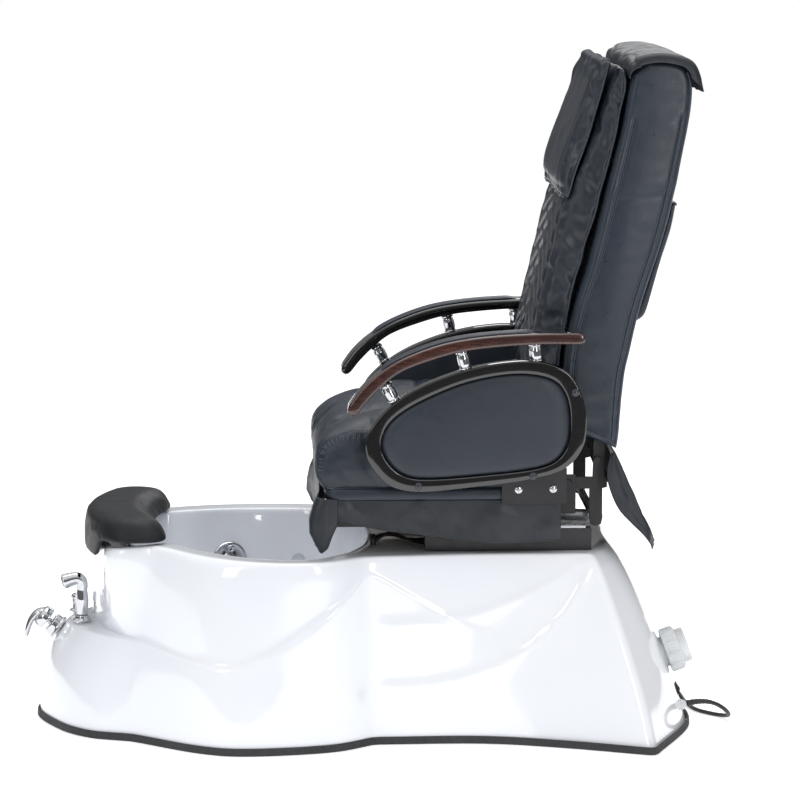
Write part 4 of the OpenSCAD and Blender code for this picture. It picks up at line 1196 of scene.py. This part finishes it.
Oc = resample(loopc(RING_O, 10), 200, closed=True)
Icd = loopc(RING_I, 10)
idx = [int(np.argmin(np.linalg.norm(Icd - p, axis=1))) for p in Oc]
Ic = Icd[idx]
for _ in range(6):
    Ic = 0.5 * Ic + 0.25 * (np.roll(Ic, 1, 0) + np.roll(Ic, -1, 0))
IN_LOOP = Ic
for s, side in ((-1, "left"), (1, "right")):
    rings = []
    for po, pi in zip(Oc, Ic):
        c, d = (po + pi) / 2, po - pi
        L = np.linalg.norm(d)
        d = d / L
        rings.append([(c[0] + d[0] * a, s * (287.5 + b), c[1] + d[1] * a) for a, b in rrect(L / 2, 17.5, 3.4, 5)])
    v, f = strips(rings, closed_u=True)
    o = obj_from("arm_ring_" + side, v, f)
    put(o, "seat", "lacquer", ["arm_frame_" + side])
    # padded panel inside the ring
    cen = np.array([215.0, 612.0])
    rings = []
    prof = [(1.02, 274), (1.0, 271.5), (0.9, 271), (0.4, 271), (0.02, 271)]
    outer_p = [(1.02, 290), (1.0, 295), (0.985, 298.2), (0.965, 300.6), (0.935, 302.6), (0.9, 303.8), (0.84, 304.8), (0.75, 305.6), (0.6, 306.4), (0.4, 307.0), (0.2, 307.3), (0.02, 307.4)]
    for k, y in prof[::-1] + outer_p:
        rings.append([(cen[0] + (p[0] - cen[0]) * k, s * y, cen[1] + (p[1] - cen[1]) * k) for p in IN_LOOP])
    o = loft("arm_pad_" + side, rings, caps=True)
    co, no = coords(o), vnormals(o)
    set_coords(o, co + no * (nz(co, 0.02, 2 + s) * 0.5 + nz(co, 0.07, 4 + s) * 0.18)[:, None])
    put(o, "seat", "leather_panel", ["arm_panel_" + side])
    # laminated arm rest: black body with a mahogany outer face and a leather strip on top
    T, B = resample(openc(REST_T, 8), 110), resample(openc(REST_B, 8), 110)

    def rest_part(name, y0, y1, grow, r, r2):
        rings = []
        nT = len(T)
        for i in range(nT):
            c, d = (T[i] + B[i]) / 2, T[i] - B[i]
            L = np.linalg.norm(d)
            d = d / L
            along = min(i, nT - 1 - i)
            k = [0.55, 0.8, 0.93, 0.99][along] if along < 4 else 1.0
            ky = [0.9, 0.97, 1.0, 1.0][along] if along < 4 else 1.0
            hy = (y1 - y0) / 2
            rings.append([(c[0] + d[0] * a, s * ((y0 + y1) / 2 + b * ky), c[1] + d[1] * a) for a, b in rrect((L / 2 + grow) * k, hy, min(r, hy * 0.9, (L / 2 + grow) * k * 0.9), 6)])
        return loft(name, rings, caps=True)

    put(rest_part("arm_rest_body_" + side, 262, 311, 0.0, 7.0, 6.0), "seat", "lacquer", ["arm_rest_" + side])
    put(rest_part("arm_rest_face_" + side, 300, 318, 0.35, 5.0, 5.0), "seat", "mahogany")
    rings = []
    ii = range(22, 90)
    for n_, i in enumerate(ii):
        d = (T[i] - B[i]) / np.linalg.norm(T[i] - B[i])
        e = min(n_, len(ii) - 1 - n_)
        h = 5.5 * math.sin(min(1, (e + 0.6) / 5.0) * math.pi / 2)
        hw_ = 19.5 - (2.5 - e * 0.6 if e < 4 else 0)
        pts = []
        for q in np.linspace(0, math.pi, 15):
            cx, sx_ = math.cos(q), math.sin(q)
            pts.append((T[i][0] + d[0] * (h * sx_ ** 0.55 if sx_ > 1e-6 else 0), s * (285 + hw_ * cx), T[i][1] + d[1] * (h * sx_ ** 0.55 if sx_ > 1e-6 else 0)))
        for q in (-0.5, 0.5):
            pts.append((T[i][0] - d[0] * 3, s * (285 + hw_ * q), T[i][1] - d[1] * 3))
        rings.append(pts)
    put(loft("arm_rest_strip_" + side, rings, caps=True), "seat", "leather_panel")
    # posts and caps
    ps = []
    for a, b in (([53, 663], [36, 695]), ([188, 723], [180, 758]), ([321, 738], [318, 772])):
        a, b = np.array(a, float), np.array(b, float)
        L = np.linalg.norm(b - a)
        ax = np.array([(b - a)[0] / L, 0, (b - a)[1] / L])
        ps.append(lathe_obj("post", [(-2.5, 9.4), (0.2, 11.6), (1.2, 12.2), (3.6, 12.3), (4.6, 11.8), (5.2, 11.1), (6.4, 11.4), (10, 12.0), (L * 0.6, 12.2), (L - 8, 11.2), (L - 6.4, 10.8), (L - 5.4, 11.8), (L - 4.2, 12.3), (L - 1.6, 12.3), (L - 0.6, 11.8), (L + 2.5, 9.4)], (a[0], s * 288, a[1]), ax, 44, 0.8))
    put(join(ps, "arm_posts_" + side), "seat", "chrome", ["arm_posts"])
    cs = []
    for p in ((394, 680), (315, 521), (98, 503)):
        cs.append(lathe_obj("cap", [(-3, 6.4), (0.2, 6.9), (1.2, 7.6), (2.4, 7.6), (4.2, 6.4), (5.4, 4.2), (5.9, 0.3)], (p[0], s * 305, p[1]), (0, s, 0), 36, 0.6))
    put(join(cs, "stud_caps_" + side), "seat", "stud", ["frame_studs"])
    # cross-head screws
    sc = []
    for p in ((290, 489), (356, 490)):
        n = 44
        vs, fs = [], []
        for i in range(n + 1):
            for j in range(n + 1):
                a, b = 2 * i / n - 1, 2 * j / n - 1
                x, z = a * math.sqrt(1 - b * b / 2), b * math.sqrt(1 - a * a / 2)
                r = math.hypot(x, z)
                y = 3.6 * math.sqrt(max(0.0, 1 - (r * 0.93) ** 2)) * 1.1
                arm = (abs(x) < 0.12 and abs(z) < 0.5) or (abs(z) < 0.12 and abs(x) < 0.5)
                y -= 1.9 if arm else 0
                vs.append((p[0] + 7.4 * x, s * (269.6 + y), p[1] + 7.4 * z))
        for i in range(n):
            for j in range(n):
                k = i * (n + 1) + j
                fs.append((k, k + 1, k + n + 2, k + n + 1))
        border = [i * (n + 1) for i in range(n + 1)] + [n * (n + 1) + j for j in range(1, n + 1)] + [i * (n + 1) + n for i in range(n - 1, -1, -1)] + [j for j in range(n - 1, 0, -1)]
        base = len(vs)
        for k in border:
            vs.append((vs[k][0], s * 268.9, vs[k][2]))
        m_ = len(border)
        for k in range(m_):
            fs.append((border[k], border[(k + 1) % m_], base + (k + 1) % m_, base + k))
        fs.append(tuple(base + k for k in range(m_)))
        sc.append(obj_from("screw", vs, fs))
    put(join(sc, "bracket_screws_" + side), "seat", "chrome", ["arm_screws"])

# ---------------------------------------------------------------- back
CASE_F = openc([[414,590],[392,602],[380,640],[376,700],[382,765],[401,846],[419,903],[438,980],[456,1056],[484,1169],[496,1235],[504,1280]], 8)
CASE_R = openc([[477,563],[489,696],[499,745],[509,790],[523,845],[541,900],[560,960],[577,1025],[598,1125],[611,1195],[615,1240],[612,1270],[600,1290],[570,1299],[532,1300]], 8)
FR, RR = resample(CASE_F, 90), resample(CASE_R, 90)
case = slab("back_shell_cover", FR, RR, 249, 13, M=18, ny=40, nr=5, bulge=3.0)
subsurf(case, 1)


def at_t(t, j, y):
    """Points on the back's side, t up the height and j from the front edge to the rear edge."""
    t = np.atleast_1d(np.asarray(t, float))
    j = np.broadcast_to(np.asarray(j, float), t.shape)
    f_ = np.stack([np.interp(t, np.linspace(0, 1, 90), FR[:, k]) for k in (0, 1)], 1)
    r_ = np.stack([np.interp(t, np.linspace(0, 1, 90), RR[:, k]) for k in (0, 1)], 1)
    p = f_ + (r_ - f_) * j[:, None]
    return np.stack([p[:, 0], np.full(len(p), float(y)), p[:, 1]], 1)


tt = np.linspace(0.02, 0.86, 120)
fr_line = {s: at_t(tt, 0.15, s * 250) for s in (-1, 1)}
rr_line = {s: at_t(np.linspace(0.02, 0.80, 120), 0.90, s * 250) for s in (-1, 1)}
press_seams(case, [fr_line[-1], fr_line[1], rr_line[-1], rr_line[1]], 1.6, 4.0)
co, no = coords(case), vnormals(case)
tall = nz_dir(co, (0.012, 0.006, 0.0035), 8.0) * 2.2
mid = nz_dir(co, (0.02, 0.02, 0.05), 2.0)
band = np.exp(-((co[:, 2] - 1062 - 0.15 * (co[:, 0] - 500)) / 26.0) ** 2) * 1.3 + np.exp(-((co[:, 2] - 1040 - 0.1 * (co[:, 0] - 500)) / 5.0) ** 2) * -0.9
low = sm(-co[:, 2], -700, -600)
co = co + no * (tall + mid * (0.5 + 1.4 * low) + band * np.abs(no[:, 1]))[:, None]
co[:, 1] = np.clip(co[:, 1], -256, 256)
set_coords(case, co)
put(case, "back", "leather_back", ["back_case"])
pp = []
for s in (-1, 1):
    pp += [piping("p", case, fr_line[s], 1.7, 0.7), piping("p", case, rr_line[s], 1.7, 0.7)]
    pp += [piping("p", case, at_t(np.linspace(0.0, 0.9, 120), 1.0, s * 243), 3.0, 0.6)]
put(join(pp, "back_piping"), "back", "piping")
sts = []
for s in (-1, 1):
    q = at_t(tt, 0.19, s * 250)
    sts.append(stitches("s", case, q, 5.2, 3.6, 0.42, 0.3))
    q = at_t(np.linspace(0.02, 0.80, 120), 0.86, s * 250)
    sts.append(stitches("s", case, q, 5.2, 3.6, 0.42, 0.3))
for y in (-150, 150):
    q = np.stack([RR[4:74, 0], np.full(70, float(y)), RR[4:74, 1]], 1)
    sts.append(stitches("s", case, q, 5.2, 3.6, 0.42, 0.3))
put(join(sts, "back_stitching"), "back", "thread")

# rear pocket, open at its top
PK_O = openc([[590, 1030], [580, 975], [563, 910], [546, 857], [537, 824], [530, 811], [518, 803]], 10)
PK_I = openc([[580, 1030], [566, 975], [549, 910], [530, 857], [519, 824], [513, 811], [510, 800]], 10)
pk = slab("rear_pocket_cloth", resample(PK_I, 50)[::-1], resample(PK_O, 50)[::-1], 205, 6.0, M=5, ny=50, nr=4)
co = coords(pk)
o_ = nz_dir(co, (0.01, 0.018, 0.012), 6.0) * 3.5
co[:, 0] += o_ * sm(co[:, 2], 800, 860)
co[:, 0] += 6.0 * sm(co[:, 2], 985, 1030) * np.exp(-(co[:, 1] / 120) ** 2)
set_coords(pk, co)
put(pk, "back", "leather_back")
q = np.stack([np.full(80, 590.5), np.linspace(-198, 198, 80), np.full(80, 1026.0)], 1)
put(piping("rear_pocket_binding", pk, q, 2.6, 0.6), "back", "piping")

# lower back pad, with diamond quilting between two plain side bolsters
PAD_F = openc([[321,652],[316,700],[323,762],[335,820],[349,880],[364,945],[380,1010],[402,1062],[424,1120],[446,1190],[464,1245],[478,1283]], 8)
PAD_R = openc([[345,640],[370,648],[370,700],[376,765],[392,846],[410,913],[431,985],[451,1060],[475,1150],[490,1226],[496,1262],[488,1290]], 8)
bp = slab("back_cushion_soft", resample(PAD_F, 80), resample(PAD_R, 80), 226, 9.0, M=8, ny=26, nr=4)


def along_back(co):
    return (co[:, 0] - 318) * 0.24 + (co[:, 2] - 650) * 0.971


def pin_back(co, no):
    w = sm(no[:, 0], 0.2, 0.7)
    return np.maximum(w, sm(-co[:, 2], -668, -645))


puff(bp, 7.0, 6.0, 4.0, pin_back, shrink=-0.04, bend=0.25, after=1)
co, no = coords(bp), vnormals(bp)
sa = along_back(co)
front = sm(-no[:, 0], 0.35, 0.75)
inside_q = sm(168 - np.abs(co[:, 1]), 0, 10) * sm(sa, 30, 50) * sm(430 - sa, 0, 20)
P_ = 38.0
ay_ = np.abs(co[:, 1])
d1 = np.abs(((sa + 0.42 * ay_) / P_) % 1.0 - 0.5) * P_
d2 = np.minimum(np.abs(ay_ - 58), ay_ + 30)
quilt = -5.5 * np.exp(-(d1 / 5.0) ** 2) - 4.5 * np.exp(-(d2 / 5.0) ** 2)
bol = -6.0 * np.exp(-((np.abs(co[:, 1]) - 172) / 6.0) ** 2)
hem_q = -5.0 * (np.exp(-((sa - 40) / 6.0) ** 2) + np.exp(-((sa - 430) / 6.0) ** 2)) * (np.abs(co[:, 1]) < 172)
puffy = 2.6
crease = nz_dir(co, (0.05, 0.012, 0.028), 4.0)
crease2 = -np.abs(nz_dir(co + np.stack([co[:, 2] * 0.9, 0 * sa, 0 * sa], 1), (0.028, 0.01, 0.004), 9.0)) * 6.0 + 1.2
sidew = np.abs(no[:, 1])
co = co + no * (front * (inside_q * (quilt + puffy) + bol + hem_q) + (1 - front * inside_q) * (crease * 2.2 + crease2 * (0.35 + 0.65 * sidew)))[:, None]
co[:, 1] = np.clip(co[:, 1], -236, 236)
set_coords(bp, co)
smooth(bp, 1, 0.4)
put(bp, "back", "leather_pad", ["back_pad"])
pp = []
for s in (-1, 1):
    q = np.stack([PAD_R[3:-2, 0], np.full(len(PAD_R) - 5, s * 229.0), PAD_R[3:-2, 1]], 1)
    pp.append(piping("p", bp, q, 2.5, 0.9))
put(join(pp, "back_cushion_welt"), "back", "piping")

tail_o = slab("back_cushion_tail", resample(openc([[346, 612], [332, 626], [323, 646], [318, 668]], 8), 14), resample(openc([[362, 613], [366, 630], [366, 650], [362, 672]], 8), 14), 222, 7.0, M=4, ny=24, nr=4)
co, no = coords(tail_o), vnormals(tail_o)
set_coords(tail_o, co + no * (nz_dir(co, (0.03, 0.012, 0.03), 21.0) * 2.6)[:, None])
put(tail_o, "back", "leather_pad")

# head pad hanging in front of it
HP_F = openc([[371,1042],[373,1078],[386,1126],[405,1178],[424,1228],[436,1268],[446,1298]], 8)
HP_R = openc([[386,1040],[396,1068],[413,1118],[431,1172],[447,1228],[457,1266],[464,1298]], 8)
hp = slab("head_pad_soft", resample(HP_F, 44), resample(HP_R, 44), 211, 7.0, M=4, ny=26, nr=4)


def pin_head(co, no):
    return np.maximum(sm(no[:, 0], 0.3, 0.8) * 0.9, sm(co[:, 2], 1285, 1296))


puff(hp, 7.5, 5.0, 4.0, pin_head, shrink=-0.05, bend=0.25, after=1)
co, no = coords(hp), vnormals(hp)
sh = (co[:, 0] - 372) * 0.26 + (co[:, 2] - 1040) * 0.965
w = nz_dir(co, (0.03, 0.012, 0.007), 12.0) * 3.2 + nz_dir(co, (0.05, 0.03, 0.02), 15.0) * 1.6
gath = np.cos(co[:, 1] * 2 * math.pi / 21.0 + 2.0 * nz_dir(co, (0, 0.02, 0), 3.0)) * sm(co[:, 2], 1250, 1296) * 3.2
fr_m = sm(-no[:, 0], 0.3, 0.7)
vs_ = -4.0 * np.exp(-((np.abs(co[:, 1]) - 178) / 5.0) ** 2) * fr_m - 2.0 * np.exp(-((sh - 20) / 5.0) ** 2) * fr_m
co = co + no * (w + gath + vs_)[:, None]
co[:, 2] += gath * 0.8 * sm(co[:, 2], 1285, 1300)
co[:, 1] = np.clip(co[:, 1], -221, 221)
set_coords(hp, co)
put(hp, "back", "leather_pad", ["head_pad"])
pp = []
q = np.stack([np.full(90, 370.0), np.linspace(-212, 212, 90), np.full(90, 1043.0)], 1)
pp.append(piping("p", hp, q, 2.4, 0.8))
for s in (-1, 1):
    q = np.stack([HP_R[:, 0] - 2, np.full(len(HP_R), s * 213.0), HP_R[:, 1]], 1)
    pp.append(piping("p", hp, q, 2.2, 0.8))
put(join(pp, "head_pad_welt"), "back", "piping")
sts = []
for y in (-178, 178):
    q = np.stack([HP_F[6:-4, 0], np.full(len(HP_F) - 10, float(y) * 0.985), HP_F[6:-4, 1]], 1)
    sts.append(stitches("s", hp, q, 5.0, 3.4, 0.42, 0.4, off=4))
put(join(sts, "head_pad_stitching"), "back", "thread")

# cap over the top of the back: one sheet with turned-down sides
cap_path = resample(openc([[499, 1268], [499, 1288], [507, 1303], [528, 1311], [560, 1314], [596, 1308], [618, 1295], [629, 1272], [633, 1243]], 8), 90)
cn = unit_rows(np.gradient(cap_path, axis=0))
cn = np.stack([-cn[:, 1], cn[:, 0]], 1)
cen = np.array([560.0, 1262.0])
g = []
ys = np.concatenate([[-256.5] * 1, np.linspace(-256, 256, 120), [256.5] * 1])
for i, (p, n_) in enumerate(zip(cap_path, cn)):
    if np.dot(n_, p - cen) < 0:
        n_ = -n_
    u = i / 89
    row = []
    for y in np.concatenate([-np.array([256.6, 256.4, 255.6, 253.6, 250]), np.linspace(-245, 245, 110), np.array([250, 253.6, 255.6, 256.4, 256.6])]):
        e = abs(y)
        drop = np.interp(e, [0, 245, 250, 253.6, 255.6, 256.4, 256.6], [0, 0, 0.8, 3, 7, 12, 17]) * sm(1 - abs(2 * u - 1), 0.02, 0.3)
        w = noise.noise(Vector((u * 3.0, y * 0.012, 2.0))) * 2.6 + noise.noise(Vector((u * 9.0, y * 0.03 + u * 4, 6.0))) * 1.3
        fold = 3.5 * math.exp(-((u - 0.20 - 0.1 * noise.noise(Vector((y * 0.01, 0, 0)))) / 0.035) ** 2) * (1 if e > 150 else 0.4)
        tail = sm(u, 0.8, 1.0) * (3.0 * noise.noise(Vector((y * 0.02, 4.0, 1.0))) + 2.0)
        k = w * min(1, 0.35 + (256.6 - e) / 60) - fold + tail + 1.0
        q = p + n_ * (k - drop)
        row.append((q[0], y, q[1] - (2.5 * noise.noise(Vector((y * 0.03, 8, 0))) * sm(u, 0.9, 1.0))))
    g.append(row)
o, a = sheet_obj("top_cap_cloth", g, 1.8)
put(o, "back", "flap", ["top_cap"])
g = np.array(g)
hm = loft("h", sweep(g[-1][::2], 1.7, 8), caps=True)
put(hm, "back", "flap").name = "top_cap_hem"
st = stitches("top_cap_stitch", o, g[-5][4:-4], 5.2, 3.4, 0.42, 0.3)
put(st, "back", "thread")

# rear skirt under the back
rows = []
main_top, main_bot = (476, 556), (553, 369)
mp = resample(openc([[475, 556], [492, 521], [509, 485], [525, 446], [540, 409], [553, 369]], 8), 50)
g = []
for i, p in enumerate(mp):
    u = i / 49
    row = []
    for y in np.linspace(-235, 235, 130):
        w = noise.noise(Vector((y * 0.013, u * 1.6, 4.0))) * 13.0 * u + noise.noise(Vector((y * 0.034, u * 2.0, 1.0))) * 5.0 * u + noise.noise(Vector((y * 0.02 + u * 2.5, u * 5.0, 7.0))) * 3.0
        bot = 12.0 * (1 - math.cos((y / 235) * math.pi)) / 2 * 0.0
        row.append((p[0] + w * 0.9, y, p[1] + w * 0.38 + bot))
    g.append(row)
o, a = sheet_obj("rear_skirt_panel", g)
put(o, "back_skirt", "flap", ["rear_flap"])
main_g = np.array(g)
for s, side in ((-1, "left"), (1, "right")):
    inner_l = resample(openc([[470, 553], [463, 520], [467, 488], [485, 446], [512, 416], [535, 393], [551, 371]], 8), 50)
    g = []
    for i in range(50):
        u = i / 49
        a0 = main_g[i][0 if s < 0 else -1]
        b0 = np.array([inner_l[i][0], s * 236.0, inner_l[i][1]])
        row = []
        for v_ in np.linspace(0, 1, 22):
            p = a0 + (b0 - a0) * v_
            k = (noise.noise(Vector((v_ * 2.2 + s, u * 3.0, 3.0))) * 5.0 + noise.noise(Vector((v_ * 5, u * 7.0, 5.0 + s))) * 2.0) * math.sin(math.pi * min(1, v_ * 1.1))
            row.append((p[0], s * min(abs(p[1]) + 0.6 + k * 0.8 + 2.0 * math.sin(math.pi * v_), 243), p[2]))
        g.append(row)
    o, a = sheet_obj("rear_skirt_wing_" + side, g)
    put(o, "back_skirt", "flap")
    hm = loft("h", sweep(np.array([r_[-1] for r_ in g])[::2], 1.5, 8), caps=True)
    put(hm, "back_skirt", "flap").name = "rear_skirt_wing_hem_" + side
hm = loft("rear_skirt_hem", sweep(main_g[-1][::2], 1.6, 8), caps=True)
put(hm, "back_skirt", "flap")

# ---------------------------------------------------------------- CAD nodes that stay, with their own finishes
KEEP = {
    "base_frame": "black_steel", "levelling_feet": "black_plastic", "jet_housing": "pvc", "basin_light": "lens", "drain_strainer": "chrome",
    "drain_pump": "grey_housing", "drain_pipe": "pvc", "control_box": "grey_housing", "switch_bezel": "black_plastic", "slide_base": "black_steel",
    "seat_cable": "cord", "jet_impeller": "black_plastic", "rocker_switch": "black_plastic", "mixer_cartridge": "chrome_dark",
    "footrest_bracket": "black_steel", "seat_rails": "steel", "seat_frame": "black_steel", "seat_board": "plywood",
    "arm_brackets": "black_steel", "back_frame": "black_steel", "massage_rails": "steel",
    "strut_rod": "steel", "strut_cylinder": "strut", "massage_carriage": "grey_housing", "lead_screw": "steel", "massage_rollers": "roller",
}
SMALL = {"seat_cable", "lead_screw", "massage_rollers", "basin_light"}
for n, o in NODES.items():
    if o.hide_render:
        continue
    mat = KEEP.get(n, "black_plastic")
    o.data.materials.clear()
    o.data.materials.append(MATS[mat])
    w = o.modifiers.new("weld", "WELD")
    w.merge_threshold = 0.00002
    if n not in SMALL:
        b = o.modifiers.new("bevel", "BEVEL")
        b.width = 0.0009
        b.segments = 2
        b.limit_method = "ANGLE"
        b.angle_limit = math.radians(38)
        b.use_clamp_overlap = True
    for poly in o.data.polygons:
        poly.use_smooth = False

# ---------------------------------------------------------------- floor, light, background
me = bpy.data.meshes.new("floor")
me.from_pydata([(-7, -3.0, 0), (7, -3.0, 0), (7, 9, 0), (-7, 9, 0)], [], [(0, 1, 2, 3)])
floor = bpy.data.objects.new("floor", me)
scene.collection.objects.link(floor)
floor.location.z = -0.0004
m = Mat("floor")
m.color(m.mix(m.range(m.noise(3, 3), 0, 1), (0.90, 0.90, 0.905), (0.92, 0.92, 0.925)))
m.rough(m.range(m.noise(20, 3), 0.6, 0.75))
m.set(Emission_Color=(1, 1, 1, 1), Emission_Strength=0.5)
me.materials.append(m.m)

world = bpy.data.worlds.new("studio")
scene.world = world
world.use_nodes = True
wt = world.node_tree
wt.nodes.clear()
wo = wt.nodes.new("ShaderNodeOutputWorld")
bg = wt.nodes.new("ShaderNodeBackground")
tc = wt.nodes.new("ShaderNodeTexCoord")
sx = wt.nodes.new("ShaderNodeSeparateXYZ")
rp = wt.nodes.new("ShaderNodeValToRGB")
mr = wt.nodes.new("ShaderNodeMapRange")
mr.inputs["From Min"].default_value = -1
mr.inputs["From Max"].default_value = 1
wt.links.new(tc.outputs["Generated"], sx.inputs[0])
wt.links.new(sx.outputs["Z"], mr.inputs["Value"])
wt.links.new(mr.outputs["Result"], rp.inputs["Fac"])
e = rp.color_ramp.elements
e[0].position, e[0].color = 0.0, (0.3, 0.3, 0.3, 1)
e[1].position, e[1].color = 1.0, (1.0, 1.0, 1.0, 1)
for pos, val in ((0.47, 0.16), (0.505, 0.16), (0.60, 0.2), (0.72, 0.35), (0.86, 1.1)):
    k = e.new(pos)
    k.color = (val, val * 1.0, val * 1.01, 1)
bg.inputs["Strength"].default_value = 1.0
wt.links.new(rp.outputs["Color"], bg.inputs["Color"])
seen = wt.nodes.new("ShaderNodeBackground")
seen.inputs["Color"].default_value = (1.0, 1.0, 1.0, 1)
seen.inputs["Strength"].default_value = 1.0
lp = wt.nodes.new("ShaderNodeLightPath")
ms = wt.nodes.new("ShaderNodeMixShader")
wt.links.new(lp.outputs["Is Camera Ray"], ms.inputs[0])
wt.links.new(bg.outputs[0], ms.inputs[1])
wt.links.new(seen.outputs[0], ms.inputs[2])
wt.links.new(ms.outputs[0], wo.inputs[0])


def area_light(name, loc, target, w, h, power, color=(1, 1, 1)):
    d = bpy.data.lights.new(name, "AREA")
    d.shape = "RECTANGLE"
    d.size, d.size_y = w, h
    d.energy = power
    d.color = color
    o = bpy.data.objects.new(name, d)
    scene.collection.objects.link(o)
    o.location = loc
    o.rotation_euler = (Vector(target) - Vector(loc)).to_track_quat("-Z", "Y").to_euler()
    return o


area_light("key", (-2.5, -3.6, 2.1), (0.0, 0, 0.55), 0.9, 1.7, 20)
area_light("side", (1.6, -3.5, 1.35), (0.5, 0, 1.0), 0.4, 1.6, 21)
area_light("top", (0.1, 0.2, 3.4), (0.0, 0, 0.5), 2.8, 2.2, 36)
area_light("back", (1.2, 3.4, 2.2), (0.1, 0, 0.6), 2.2, 1.4, 16)
scene.view_settings.view_transform = "Standard"
scene.view_settings.look = "None"
scene.view_settings.exposure = 0.0
